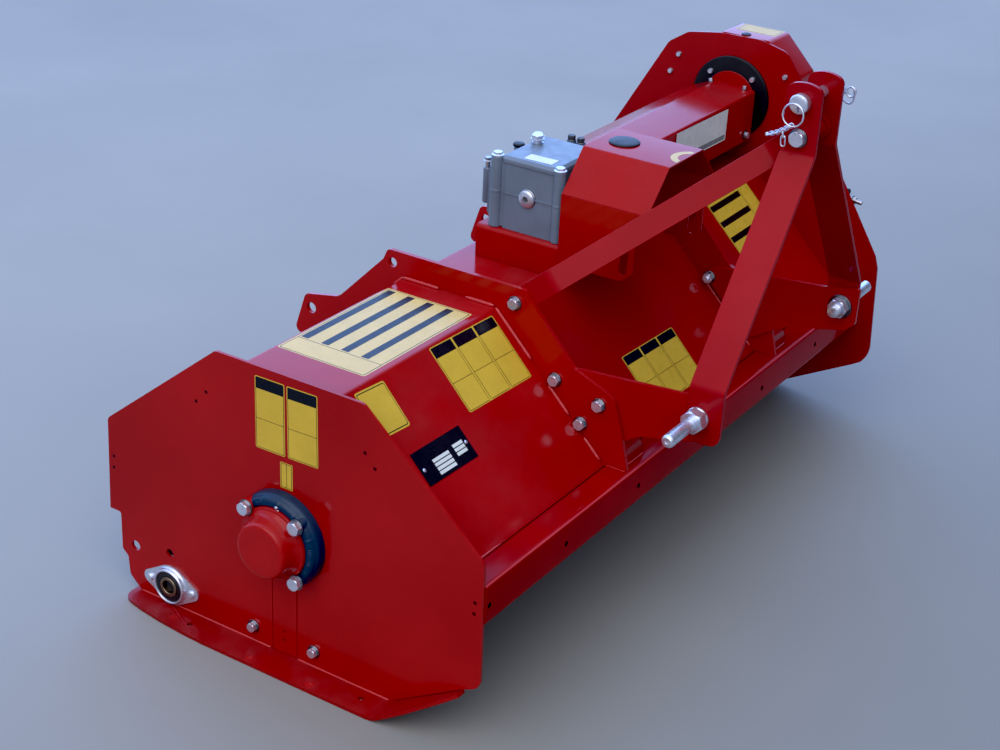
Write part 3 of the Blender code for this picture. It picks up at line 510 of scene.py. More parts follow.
def lathe_mesh(name, profile, origin, direction, steps=48):
    """Turned body: profile of (radius, height) along direction from origin, mm."""
    x, y, z = ring_frame(direction)
    o = Vector(origin)
    bm = bmesh.new()
    rows = []
    for r, h in profile:
        if r < 1e-6:
            rows.append([bm.verts.new(W(*(o + z * h)))])
        else:
            rows.append([
                bm.verts.new(W(*(o + z * h + (x * math.cos(2 * math.pi * k / steps) + y * math.sin(2 * math.pi * k / steps)) * r)))
                for k in range(steps)
            ])
    pairs = list(zip(rows, rows[1:]))
    if profile[0] == profile[-1]:
        rows[-1] = rows[0]
        pairs = [(rows[i], rows[i + 1]) for i in range(len(rows) - 1)]
    for a, b in pairs:
        for k in range(steps):
            j = (k + 1) % steps
            if len(a) == 1 and len(b) == 1:
                continue
            if len(a) == 1:
                bm.faces.new((a[0], b[k], b[j]))
            elif len(b) == 1:
                bm.faces.new((a[k], b[0], a[j]))
            else:
                bm.faces.new((a[k], b[k], b[j], a[j]))
    loose = [v for v in bm.verts if not v.link_faces]
    bmesh.ops.delete(bm, geom=loose, context="VERTS")
    bmesh.ops.recalc_face_normals(bm, faces=bm.faces)
    mesh = bpy.data.meshes.new(name)
    bm.to_mesh(mesh)
    bm.free()
    return mesh


def lathe(name, profile, origin, direction, mat, body="frame", steps=48, bevel=0.0, angle=30.0, **kw):
    return finish_obj(name, lathe_mesh(name, profile, origin, direction, steps), mat, body, bevel=bevel, angle=angle, **kw)


def join_into(bm, mesh):
    bm.from_mesh(mesh)
    bpy.data.meshes.remove(mesh)


def hex_profile(af, sides=6, spin=0.0):
    r = af / 2 / math.cos(math.pi / 6)
    return [(r * math.cos(2 * math.pi * k / sides + spin), r * math.sin(2 * math.pi * k / sides + spin)) for k in range(sides)]


def hex_mesh(name, origin, direction, af, h0, h1, spin=0.0, chamfer=0.12, dish=True):
    """Hexagon between two heights with its corners turned off at the top."""
    x, y, z = ring_frame(direction)
    o = Vector(origin)
    R = af / 2 / math.cos(math.pi / 6)
    steps = 48
    bm = bmesh.new()

    def hexr(a):
        a = (a - spin) % (math.pi / 3)
        return (af / 2) / math.cos(a - math.pi / 6)

    h = h1 - h0
    rows = []
    top = af / 2 * 0.985
    levels = [0.0, 0.30, 0.60, 0.84, 0.89, 0.945, 1.0]
    for lv in levels:
        row = []
        cap = top + (R - top) * min(1.0, (1.0 - lv) / 0.16)
        for k in range(steps):
            a = 2 * math.pi * k / steps
            r = min(hexr(a), cap)
            row.append(bm.verts.new(W(*(o + z * (h0 + h * (lv if lv < 1 else 0.995)) + (x * math.cos(a) + y * math.sin(a)) * r))))
        rows.append(row)
    for fr, lv in ((0.93, 1.0), (0.6, 0.985), (0.3, 0.985)) if dish else ((0.93, 1.0), (0.5, 1.0)):
        rows.append([bm.verts.new(W(*(o + z * (h0 + h * lv) + (x * math.cos(2 * math.pi * k / steps) + y * math.sin(2 * math.pi * k / steps)) * top * fr))) for k in range(steps)])
    for a, b in zip(rows, rows[1:]):
        for k in range(steps):
            j = (k + 1) % steps
            bm.faces.new((a[k], b[k], b[j], a[j]))
    bm.faces.new(rows[-1])
    bm.faces.new(list(reversed(rows[0])))
    bmesh.ops.recalc_face_normals(bm, faces=bm.faces)
    mesh = bpy.data.meshes.new(name)
    bm.to_mesh(mesh)
    bm.free()
    return mesh


def bolt(name, origin, direction, af=19.0, head=8.0, washer=13.0, wt=2.4, body="frame", mat=None, spin=0.2, flange=False, tail=0.0, tail_r=5.0, slot="zinc_plated"):
    """Hex head on a washer, with an optional threaded end standing out of it."""
    bm = bmesh.new()
    o = Vector(origin)
    if washer:
        # washer in the darker zinc, partly painted shade
        lathe(f"{name}_washer", [(0, 0.1), (washer - 0.5, 0.1), (washer, 0.5), (washer, wt - 0.5), (washer - 0.5, wt), (0, wt)], o, direction, WASHER_SHADE, body, 40, slot=slot)
    base = wt if washer else 0.1
    if flange:
        join_into(bm, lathe_mesh("f", [(0, base), (af * 0.72, base), (af * 0.74, base + 0.8), (af * 0.6, base + 2.0), (af * 0.5, base + 2.6), (0, base + 2.6)], o, direction, 40))
    join_into(bm, hex_mesh("h", o, direction, af, base + (1.0 if flange else 0.0), base + head, spin))
    if tail:
        prof = [(0, base + head - 1)]
        h = base + head - 1
        prof.append((tail_r, h))
        pitch = 1.6
        n = max(1, int(tail / pitch))
        for i in range(n):
            prof += [(tail_r, h + pitch * i + 0.2), (tail_r * 0.9, h + pitch * (i + 0.5)), (tail_r, h + pitch * (i + 1) - 0.2)]
        prof += [(tail_r * 0.8, h + pitch * n + 0.6), (0, h + pitch * n + 0.6)]
        join_into(bm, lathe_mesh("t", prof, o, direction, 24))
    mesh = bpy.data.meshes.new(name)
    bm.to_mesh(mesh)
    bm.free()
    return finish_obj(name, mesh, mat or ZINC, body, slot=slot, angle=28.0)


def tube_mesh(name, points, radius, sides=12, closed=False, radii=None):
    pts = [Vector(p) for p in points]
    n = len(pts)
    bm = bmesh.new()
    rows = []
    prev = None
    for i, p in enumerate(pts):
        if closed:
            d = (pts[(i + 1) % n] - pts[i - 1]).normalized()
        else:
            d = (pts[min(i + 1, n - 1)] - pts[max(i - 1, 0)]).normalized()
        if prev is None:
            x = Vector((0, 0, 1)) if abs(d.z) < 0.9 else Vector((1, 0, 0))
            x = (x - d * x.dot(d)).normalized()
        else:
            x = (prev - d * prev.dot(d)).normalized()
        prev = x
        y = d.cross(x)
        r = radii[i] if radii else radius
        rows.append([bm.verts.new(W(*(p + (x * math.cos(2 * math.pi * k / sides) + y * math.sin(2 * math.pi * k / sides)) * r))) for k in range(sides)])
    loop = list(zip(rows, rows[1:]))
    if closed:
        loop.append((rows[-1], rows[0]))
    for a, b in loop:
        for k in range(sides):
            j = (k + 1) % sides
            bm.faces.new((a[k], b[k], b[j], a[j]))
    if not closed:
        bm.faces.new(rows[0])
        bm.faces.new(list(reversed(rows[-1])))
    bmesh.ops.recalc_face_normals(bm, faces=bm.faces)
    mesh = bpy.data.meshes.new(name)
    bm.to_mesh(mesh)
    bm.free()
    return mesh


def tube(name, points, radius, mat, body="frame", sides=12, closed=False, radii=None, **kw):
    return finish_obj(name, tube_mesh(name, points, radius, sides, closed, radii), mat, body, **kw)


def hashed(i, seed=0.0):
    v = math.sin(i * 12.9898 + seed * 78.233) * 43758.5453
    return v - math.floor(v)


def weld(name, a, b, radius=2.6, mat=None, body="frame", step=2.4, squash=0.7, up=None, seed=1.0):
    """Bead between two points, rippled as the torch moved."""
    a, b = Vector(a), Vector(b)
    d = b - a
    n = max(3, int(d.length / step))
    pts, radii = [], []
    for i in range(n + 1):
        t = i / n
        end = min(1.0, min(t, 1 - t) * n / 2.2 + 0.35)
        ripple = 0.86 + 0.14 * (i % 2) + 0.1 * (hashed(i, seed) - 0.5)
        pts.append(a + d * t + Vector((0, 0, 0)))
        radii.append(radius * ripple * end)
    return tube(name, pts, radius, mat or RED, body, 8, radii=radii, slot="red_paint", angle=60.0)


def box_obj(name, lo, hi, mat, body="frame", bevel=1.0, segs=3, **kw):
    outline = [(lo[0], lo[1]), (hi[0], lo[1]), (hi[0], hi[1]), (lo[0], hi[1])]
    return plate(name, "Z", outline, lo[2], hi[2], mat, body, bevel=bevel, segs=segs, **kw)


RP = "red_paint"

def drilled(mesh, cutters):
    """The mesh with cylinders (start, direction, length, radius) taken out of it."""
    obj = bpy.data.objects.new("drill_target", mesh)
    bpy.context.scene.collection.objects.link(obj)
    bm = bmesh.new()
    for start, direction, length, radius in cutters:
        join_into(bm, lathe_mesh("c", [(0, 0), (radius, 0), (radius, length), (0, length)], start, direction, 24))
    cm = bpy.data.meshes.new("drill_tool")
    bm.to_mesh(cm)
    bm.free()
    tool = bpy.data.objects.new("drill_tool", cm)
    bpy.context.scene.collection.objects.link(tool)
    mod = obj.modifiers.new("cut", "BOOLEAN")
    mod.operation = "DIFFERENCE"
    mod.solver = "EXACT"
    mod.object = tool
    bpy.context.view_layer.update()
    out = bpy.data.meshes.new_from_object(obj.evaluated_get(bpy.context.evaluated_depsgraph_get()))
    bpy.data.objects.remove(obj, do_unlink=True)
    bpy.data.objects.remove(tool, do_unlink=True)
    bpy.data.meshes.remove(cm)
    out.name = mesh.name
    out.materials.clear()
    return out


# =============================================================================
# hood, beam, end plates
# =============================================================================
X0, X1, PT = 0.0, 1369.0, 5.0
HOOD = [(386.0, 150.0), (386.0, 250.0), (112.0, 497.0), (-72.0, 497.0), (-296.6, 274.95)]
folded("hood", "X", HOOD, 4.0, 1.0, X0 + PT + 0.3, X1 - 0.3, RED, radius=9.0, segs=6, slot=RP, node="hood_shell", bevel=0.5)

BEAM = rounded([(-347, 207), (-297, 207), (-297, 277), (-347, 277)], 7.0, 6)
BEAM_IN = rounded([(-343, 211), (-301, 211), (-301, 273), (-343, 273)], 3.5, 4)
plate("beam_tube", "X", BEAM, X0 + PT + 0.3, X1 - 0.3, RED_BEAM, holes=[BEAM_IN], bevel=0.4, slot=RP, node="front_beam")
# painted highlight: a brighter strip along the rolled corner at the top of its face
edge = [math.radians(119.0 + 26.0 * k / 8) for k in range(9)]
edge = [(-340.0 + r * math.cos(a), 270.0 + r * math.sin(a)) for r, arc in ((7.25, edge), (6.9, edge[::-1])) for a in arc]
plate("beam_corner_highlight", "X", edge, X0 + PT + 0.6, X1 - 0.6, RED_EDGE_HIGHLIGHT, bevel=0, slot=RP)

SLOT_HALF = 25.3
arc = [(ROTOR[0] + SLOT_HALF * math.cos(a), ROTOR[1] + SLOT_HALF * math.sin(a)) for a in [math.pi - math.pi * k / 16 for k in range(17)]]
RIGHT = (
    rounded(
        [(338, 6.3), (361, 27), (364, 62), (376, 72), (376, 143), (400, 143), (395, 314),
         (160, 505.5), (-123, 505.5), (-344, 316), (-347, 99), (-314, 84), (-184, 6.3)],
        {0: 12, 1: 10, 2: 8, 3: 8, 4: 5, 6: 14, 7: 12, 8: 16, 9: 18, 10: 22, 11: 20, 12: 10}, 8)
    + [(ROTOR[0] - SLOT_HALF, 6.3)] + arc + [(ROTOR[0] + SLOT_HALF, 6.3)]
)
plate("plain_end_plate", "X", RIGHT, X0, X0 + PT, RED, bevel=1.3, segs=3, slot=RP, node="right_end_plate",
      holes=[circle(345, 89, 9), circle(269, 102.5, 7.6), circle(ROLLER[0], ROLLER[1], 17)])
LEFT = rounded(
    [(338, 6.3), (361, 27), (364, 62), (376, 72), (376, 143), (400, 143), (395, 314),
     (250, 505), (135, 704), (92, 732), (20, 743.5), (-68, 745.5), (-126, 731), (-155, 692),
     (-366, 361), (-374, 336), (-383, 165), (-380, 145), (-369, 129), (-354, 119.5), (-138, 3.2)],
    {0: 12, 1: 10, 2: 8, 3: 8, 4: 5, 6: 14, 7: 30, 8: 34, 9: 40, 10: 40, 11: 60, 12: 30, 13: 30, 14: 15, 15: 15,
     16: 40, 17: 46, 18: 10}, 8)
# drive end plate in the darker red copy, painted shade
plate("drive_end_plate", "X", LEFT, X1, X1 + PT, RED_SHADED, bevel=1.3, segs=3, slot=RP, node="left_end_plate",
      holes=[circle(345, 89, 9), circle(271, 104, 6.5), circle(ROLLER[0], ROLLER[1], 17), circle(ROTOR[0], ROTOR[1], 26), circle(SHAFT[0], SHAFT[1], 30)])

# painted shade: a black disc behind the plate's small hole makes it read dark
lathe("plate_hole_shade_disc", [(0, -9.0), (9.0, -9.0), (9.0, -5.4), (0, -5.4)], (0, 271.0, 104.0), (-1, 0, 0), SEAL, slot="black_polymer", steps=24)
plate("slot_strip", "X", [(ROTOR[0] - 24.2, 6.6), (ROTOR[0] + 24.2, 6.6), (ROTOR[0] + 24.2, 160), (ROTOR[0] - 24.2, 160)], X0 - 0.3, X0 + PT + 0.2, RED,
      holes=[circle(ROTOR[0] + 1, 47, 2.6, 20), circle(ROTOR[0] + 1, 31, 2.6, 20)], bevel=0.5, slot=RP, node="shaft_slot_cover")
plate("slot_backing_bar", "X", rounded([(ROTOR[0] - 72, 10), (ROTOR[0] + 86, 10), (ROTOR[0] + 86, 58), (ROTOR[0] - 72, 58)], 6), X0 + PT + 0.4, X0 + PT + 6.2, RED, bevel=0.6, slot=RP)


# =============================================================================
# skids
# =============================================================================
def skid(name, node, outer_x, inner_x, plate_x, fold_y, slope_top):
    side = -1.0 if outer_x < inner_x else 1.0
    stations = [(347.0, 0.0, 13.0), (346.0, 0.0, 20.0), (343.0, 0.0, 26.5), (338.0, 0.0, 31.5), (330.0, 0.0, 35.3), (300.0, 0.0, 42.0), (251.0, 0.0, 49.0), (200.0, 0.0, 53.5), (155.0, 0.0, 55.5),
                (0.0, 0.0, 55.6), (-120.0, 0.0, 55.3), (fold_y + 10.0, 0.0, 55.0)]
    for k in range(5):
        t = k / 4
        y = fold_y + 10 - 22 * t
        z = 0.0 + 9.0 * t * t * 0.62
        stations.append((y - 0.01, z, 55.0 - 1.0 * t))
    sy, sz, sp = slope_top
    y0, z0 = stations[-1][0], stations[-1][1]
    for k in range(1, 7):
        t = k / 6
        stations.append((y0 + (sy - y0) * t, z0 + (sz - z0) * t, 54.0 + (sp - 54.0) * t ** 1.6))
    verts, faces = [], []
    cols = 6
    for y, z, proud in stations:
        taper = max(0.0, min(1.0, (fold_y + 10.0 - y) / 40.0))
        xo, xi = outer_x + side * proud, inner_x + (plate_x - inner_x) * taper
        d = 1.0
        for c in range(cols + 1):
            t = c / cols
            verts.append((xo + (xi - xo) * t, y, z))
    n = len(stations)
    # normals along the run for the thickness
    tops = []
    for i, (y, z, proud) in enumerate(stations):
        a, b = stations[max(0, i - 1)], stations[min(n - 1, i + 1)]
        d = Vector((b[0] - a[0], b[1] - a[1])).normalized()
        nor = Vector((d.y, -d.x))
        if nor.y < 0:
            nor = -nor
        for c in range(cols + 1):
            x = verts[i * (cols + 1) + c][0]
            tops.append((x, y + nor.x * 6.0, z + nor.y * 6.0))
    allv = [W(*v) for v in verts] + [W(*v) for v in tops]
    m = len(verts)
    w = cols + 1
    for i in range(n - 1):
        for c in range(cols):
            faces.append((i * w + c, i * w + c + 1, (i + 1) * w + c + 1, (i + 1) * w + c))
            faces.append((m + i * w + c, m + i * w + c + 1, m + (i + 1) * w + c + 1, m + (i + 1) * w + c))
        for c in (0, cols):
            faces.append((i * w + c, (i + 1) * w + c, m + (i + 1) * w + c, m + i * w + c))
    for i in (0, n - 1):
        for c in range(cols):
            faces.append((i * w + c, i * w + c + 1, m + i * w + c + 1, m + i * w + c))
    mesh = mesh_from(name, allv, faces)
    if outer_x < inner_x:
        mesh = drilled(mesh, [((-29.6, 202.0, -6), (0, 0, 1), 30, 5.0), ((-22.0, -144.0, -6), (0, 0, 1), 30, 5.0)])
    return finish_obj(name, mesh, RED_WORN, "frame", slot=RP, node=node, bevel=0.8, segs=2)


skid("plain_end_skid", "right_skid", X0, X0 + 42.0, X0 + PT + 1.0, -184.0, (-317.5, 77.0, 12.0))
skid("drive_end_skid", "left_skid", X1 + PT, X1 - 38.0, X1 + 2.4, -138.0, (-353.0, 118.0, 12.0))

# =============================================================================
# ribs
# =============================================================================
SL = (Vector((-292.0, 279.5)) - Vector((-72.0, 497.0))).normalized()
OUT = Vector((SL.y, -SL.x)) * 0.5
RR = (Vector((386.0, 250.0)) - Vector((112.0, 497.0))).normalized()


def rear_point(y, lift=0.5):
    return (y, 497.0 + RR.y / RR.x * (y - 112.0) + lift / RR.x)


RIB = (
    rounded(
        [(-340, 277.4), (-322, 349), (-306, 397), (-288, 407), (-228, 430), (-138, 526), (-128, 541),
         (149, 541), (157.5, 521), (252, 424), (326.5, 409), (351, 331)],
        {1: 10, 2: 14, 3: 10, 4: 14, 5: 10, 6: 8, 7: 10, 8: 8, 9: 26, 10: 13, 11: 12}, 8)
    + [rear_point(358.0), (112.3, 497.4)]
    + [(-72.0 + OUT.x, 497.5), (-292.0 + OUT.x, 279.5 + OUT.y), (-294.5, 277.4)]
)
for side, x in (("right", 427.0), ("left", mir(427.0) - 8.0)):
    plate(f"{side}_cross_rib", "X", RIB, x, x + 8.0, RED, bevel=1.4, segs=3, slot=RP, node=f"{side}_rib",
          holes=[circle(138, 519, 8.5), circle(313, 385, 10)])


# =============================================================================
# more helpers
# =============================================================================
def bar_mesh(name, path, wide, half, thick, crown0=None, crown1=None, cols=16, bend=14.0, segs=6):
    """Flat bar along a bent path; crown functions give how far an end row is set back at c."""
    pts = bend_path3(path, bend, segs)
    wide = Vector(wide).normalized()
    n = len(pts)
    arcs = [0.0]
    for a, b in zip(pts, pts[1:]):
        arcs.append(arcs[-1] + (b - a).length)
    total = arcs[-1]

    def at(s):
        s = max(0.0, min(total, s))
        for i in range(n - 1):
            if s <= arcs[i + 1] or i == n - 2:
                t = (s - arcs[i]) / max(1e-9, arcs[i + 1] - arcs[i])
                return pts[i].lerp(pts[i + 1], t)

    def nor(s):
        e = 0.6
        d = (at(min(total, s + e)) - at(max(0, s - e))).normalized()
        return d.cross(wide).normalized()

    cs = []
    for k in range(cols + 1):
        t = -1 + 2 * k / cols
        cs.append(half * math.copysign(1 - (1 - abs(t)) ** 1.6, t))
    reach0 = max(crown0(c) for c in cs) + 6 if crown0 else 0
    reach1 = max(crown1(c) for c in cs) + 6 if crown1 else 0
    stations = [s for s in arcs[1:-1] if reach0 + 1 < s < total - reach1 - 1]
    if crown0:
        stations = [reach0] + stations
    if crown1:
        stations = stations + [total - reach1]
    rows = []
    rows.append([(crown0(c) if crown0 else 0.0) for c in cs])
    for s in stations:
        rows.append([s] * len(cs))
    rows.append([total - (crown1(c) if crown1 else 0.0) for c in cs])
    verts, faces = [], []
    m = len(cs)
    for side in (1, -1):
        for row in rows:
            for s, c in zip(row, cs):
                verts.append(W(*(at(s) + wide * c + nor(s) * (thick / 2 * side))))
    R = len(rows)
    off = R * m
    for i in range(R - 1):
        for c in range(m - 1):
            q = (i * m + c, i * m + c + 1, (i + 1) * m + c + 1, (i + 1) * m + c)
            faces.append(q)
            faces.append(tuple(off + k for k in q))
        for c in (0, m - 1):
            faces.append((i * m + c, (i + 1) * m + c, off + (i + 1) * m + c, off + i * m + c))
    for i in (0, R - 1):
        for c in range(m - 1):
            faces.append((i * m + c, i * m + c + 1, off + i * m + c + 1, off + i * m + c))
    return mesh_from(name, verts, faces)


def bend_path3(points, radius, segs=5):
    out = [Vector(points[0])]
    for i in range(1, len(points) - 1):
        p = Vector(points[i])
        a = (Vector(points[i - 1]) - p)
        b = (Vector(points[i + 1]) - p)
        la, lb = a.length, b.length
        a.normalize()
        b.normalize()
        half = a.angle(b) / 2
        reach = min(radius / math.tan(half), 0.45 * la, 0.45 * lb)
        r = reach * math.tan(half)
        centre = p + (a + b).normalized() * (r / math.sin(half))
        s = p + a * reach - centre
        e = p + b * reach - centre
        ang = math.pi - 2 * half
        for k in range(segs + 1):
            t = k / segs
            w0 = math.sin((1 - t) * ang) / math.sin(ang)
            w1 = math.sin(t * ang) / math.sin(ang)
            out.append(centre + s * w0 + e * w1)
    out.append(Vector(points[-1]))
    return out


def mirrored(mesh):
    out = mesh.copy()
    mid = (HX + DATUM.x) * MM
    for v in out.vertices:
        v.co.x = 2 * mid - v.co.x
    out.flip_normals()
    return out


# =============================================================================
# hitch: brackets, mast struts, braces
# =============================================================================
BRACKET = rounded(
    [(-184, 404), (-200, 424), (-240, 428), (-417, 443), (-488, 457), (-488, 388), (-470, 372), (-352, 344),
     (-292, 306), (-268, 318)],
    {0: 8, 1: 10, 4: 6, 5: 14, 6: 14, 7: 20, 8: 8, 9: 8}, 8)
for side, x in (("right", 435.3), ("left", mir(435.3) - 8.0)):
    plate(f"{side}_link_bracket", "X", BRACKET, x, x + 8.0, RED, bevel=0.9, segs=3, slot=RP, node=f"{side}_lower_bracket")


def round_end(r, half, crown=0.009):
    def f(c):
        extra = 0.0
        if abs(c) > half - r:
            extra = r - math.sqrt(max(0.0, r * r - (abs(c) - (half - r)) ** 2))
        return crown * c * c + extra
    return f


STRUT_PATH = [(670.5, -466, 903.0), (670.5, -466, 788.0), (431.0, -466, 466.0), (431.0, -466, 371.6)]
strut = bar_mesh("right_mast_bar", STRUT_PATH, (0, 1, 0), 30.0, 8.0, round_end(9, 30), round_end(16, 30, 0.004), bend=16.0)
finish_obj("right_mast_bar", strut, RED_BAR, "frame", slot=RP, node="right_mast_strut", bevel=0.7, segs=2, angle=50)
STRUT_PATH_2 = [(mir(670.5), -466, 903.0), (mir(670.5), -466, 788.0), (mir(431.0), -453, 466.0), (mir(431.0), -452, 371.6)]
strut = bar_mesh("left_mast_bar", STRUT_PATH_2, (0, 1, 0), 30.0, 8.0, round_end(9, 30), round_end(16, 30, 0.004), bend=16.0)
finish_obj("left_mast_bar", strut, RED_BAR, "frame", slot=RP, node="left_mast_strut", bevel=0.7, segs=2, angle=50)

foot, headp = Vector((-109.0, 513.0)), Vector((-465.0, 814.0))
run = headp - foot
reach = run.length
run.normalize()
lowx, highx = 439.3, 678.8
bp_pts = []
for t, x in ((-20.0, lowx), (80.0, lowx), (reach - 62.0, highx), (reach + 20.0, highx)):
    c = foot + run * t
    bp_pts.append((x, c.x, c.y))
brace = bar_mesh("right_mast_tie", bp_pts, (0, -run.y, run.x), 20.0, 8.0, round_end(14, 20, 0.004), round_end(14, 20, 0.004), bend=22.0)
twin = mirrored(brace)
finish_obj("right_mast_tie", brace, RED_BAR, "frame", slot=RP, node="right_mast_brace", bevel=0.7, segs=2, angle=50)
finish_obj("left_mast_tie", twin, RED_BAR, "frame", slot=RP, node="left_mast_brace", bevel=0.7, segs=2, angle=50)

# bolts through ribs, brackets and braces, heads outside and nuts inside
for i, (y, z) in enumerate(((-109.4, 513.6), (-194.1, 400.8), (-279.1, 380.6), (-247.7, 337.2))):
    for side, s, x in (("right", -1, 427.0), ("left", 1, mir(427.0))):
        bolt(f"{side}_rib_bolt_{i + 1}", (x, y, z), (s, 0, 0), 18.0, 7.5, 12.5, 2.4, spin=0.3 + i * 0.37)
        bolt(f"{side}_rib_nut_{i + 1}", (x - s * 16.4, y, z), (-s, 0, 0), 18.0, 9.5, 12.5, 2.4, spin=0.1 + i * 0.5, tail=5.0, tail_r=5.6)

# hitch pins
LP = (-456.0, 415.5)
for side, s, face in (("right", -1, 426.7), ("left", 1, mir(426.7))):
    bm = bmesh.new()
    d = (s, 0, 0)
    o = (face, LP[0], LP[1])
    join_into(bm, lathe_mesh("j", [(0, 20), (11, 25), (11, 27), (10.6, 28), (11, 29.5), (11, 97.5), (10.8, 99), (8.6, 102.2), (7.6, 102.9), (3.0, 103.2), (2.4, 102.2), (0, 101.0)], o, d, 48))
    join_into(bm, lathe_mesh("f", [(0, 0.1), (18.4, 0.1), (19.0, 0.8), (19.0, 4.2), (18.2, 5.2), (0, 5.2)], o, d, 56))
    join_into(bm, hex_mesh("h", o, d, 35.0, 4.8, 25.5, 0.25, dish=False))
    mesh = bpy.data.meshes.new(f"{side}_link_pin")
    bm.to_mesh(mesh)
    bm.free()
    finish_obj(f"{side}_link_pin", mesh, ZINC, "frame", slot="zinc_plated", node=f"{side}_hitch_pin", angle=28)
    o2 = (face - s * 16.9, LP[0], LP[1])
    bolt(f"{side}_link_pin_nut", o2, (-s, 0, 0), 32.0, 15.0, 22.5, 3.4, tail=19.0, tail_r=10.4, spin=0.5)
    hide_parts(f"{side}_hitch_pin_nut")

# clevis: bolt, nut, spacer
CB = (-465.0, 814.0)
bolt("clevis_through_bolt", (666.4, CB[0], CB[1]), (-1, 0, 0), 24.0, 9.0, 15.5, 2.8, spin=0.2)
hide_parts("clevis_bolt")
bolt("clevis_lock_nut", (mir(666.4), CB[0], CB[1]), (1, 0, 0), 24.0, 12.0, 15.5, 2.8, spin=0.35, tail=5.0, tail_r=7.8)
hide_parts("clevis_nut")
lathe("clevis_tube", [(8.4, 683.2), (15, 683.2), (15, mir(683.2)), (8.4, mir(683.2)), (8.4, 683.2)], (0, CB[0], CB[1]), (1, 0, 0), RED,
      slot=RP, node="clevis_spacer", bevel=0.5)

# top link pin: drilled head, shank, far end with the clip
TP = (-464.0, 871.5)
pin_end, linch_x = 778.5, 767.5
headmesh = lathe_mesh("top_pin", [(0, 649.9), (12.4, 649.9), (14.6, 650.8), (15.9, 652.8), (16, 655), (16, 664.6), (15.4, 666.2), (9.5, 666.2),
                                  (9.5, pin_end - 3.2), (8.0, pin_end - 0.4), (0, pin_end - 0.2)], (0, TP[0], TP[1]), (1, 0, 0), 48)
headmesh = drilled(headmesh, [((linch_x, TP[0] - 20, TP[1]), (0, 1, 0), 40, 5.2), ((648.0, TP[0] - 1.0, TP[1] - 5.0), (0.9, -0.2, -1.0), 40, 3.1)])
finish_obj("top_pin_turned", headmesh, ZINC, "top_pin", slot="zinc_plated", node="top_link_pin", angle=30)

bm = bmesh.new()
lo_ = (linch_x, TP[0], TP[1])
join_into(bm, lathe_mesh("l", [(0, 23.8), (2.6, 23.8), (4.0, 22.0), (4.8, 18.5), (4.8, -16), (7.2, -16.3), (7.5, -17.2), (7.5, -25), (6.6, -27), (4.8, -27.9), (0, -28)], lo_, (0, 1, 0), 32))
pts = [(linch_x, TP[0] - 26.0, TP[1]), (linch_x, TP[0] - 30.0, TP[1] - 0.5)]
for k in range(34):
    a = math.radians(180.0 + 600.0 * k / 33)
    pts.append((linch_x + 3.2 * k / 33, TP[0] - 37.5 - 7.0 * math.cos(a), TP[1] + 0.5 + 8.0 * math.sin(a)))
for dy, dz in ((-43.0, -8.0), (-41.5, -15.0), (-37.0, -19.6), (-31.0, -19.0), (-24.0, -15.0), (-16.0, -12.4), (-9.0, -12.0)):
    pts.append((linch_x + 3.4, TP[0] + dy, TP[1] + dz))
pts = [tuple(q) for q in bend_path3(pts, 3.0, 2)]
join_into(bm, tube_mesh("r", pts, 1.5, 10))
mesh = bpy.data.meshes.new("clip_pin")
bm.to_mesh(mesh)
bm.free()
finish_obj("clip_pin", mesh, ZINC, "linchpin", slot="zinc_plated", node="linchpin", angle=30)

# wire ring through the pin's head, and the chain that keeps the pin
ring_c = Vector((649.3, -459.0, 854.4))
ring_pts = []
for k in range(40):
    a = 2 * math.pi * k / 40
    ring_pts.append(ring_c + Vector((1.2 * math.sin(a) - 1.2, 17.4 * math.cos(a), 17.8 * math.sin(a))))
tube("pin_wire_ring", ring_pts, 1.4, ZINC, "frame", 8, closed=True, slot="zinc_plated")
chain = [Vector((648.6, -459.5, 838.5)), Vector((649.5, -451.5, 832.0)), Vector((652.5, -443.0, 826.0)), Vector((656.5, -434.5, 820.0)),
         Vector((661.5, -424.0, 814.0)), Vector((668.0, -412.5, 808.0))]


def link_pts(a, b, flat, half=3.1, over=2.6, n=20):
    d = (b - a)
    L = d.length / 2 + over
    d.normalize()
    f = flat - d * flat.dot(d)
    f.normalize()
    c = (a + b) / 2
    out = []
    for k in range(n):
        t = 2 * math.pi * k / n
        x, y = math.cos(t), math.sin(t)
        straight = (L - half) * (1 if x > 0 else -1)
        out.append(c + d * (straight + half * x) + f * (half * y))
    return out


bm = bmesh.new()
for i, (a, b) in enumerate(zip(chain, chain[1:])):
    steps = 2
    for j in range(steps):
        p0, p1 = a.lerp(b, j / steps), a.lerp(b, (j + 1) / steps)
        flat = Vector((1, 0.2, 0.1)) if (i * steps + j) % 2 else Vector((0, 0.6, 1))
        join_into(bm, tube_mesh("c", link_pts(p0, p1, flat, 3.2, 2.2), 1.15, 8, closed=True))
for j, (a, b) in enumerate(((Vector((652.0, -444.0, 824.0)), Vector((650.5, -445.5, 815.5))), (Vector((650.5, -445.5, 815.5)), Vector((650.0, -447.0, 803.0))))):
    join_into(bm, tube_mesh("c", link_pts(a, b, Vector((0, 1, 0.2)) if j else Vector((1, 0.3, 0)), 3.6 if j else 3.0, 2.2), 1.15, 8, closed=True))
mesh = bpy.data.meshes.new("pin_chain")
bm.to_mesh(mesh)
bm.free()
finish_obj("pin_chain", mesh, ZINC, "frame", slot="zinc_plated", angle=40)
lathe("chain_stud", [(0, 0), (3.2, 0), (3.4, 1.4), (2.6, 3.6), (0, 4.2)], (674.6, -408.5, 806.0), (-1, 0, 0), ZINC, slot="zinc_plated", steps=20)

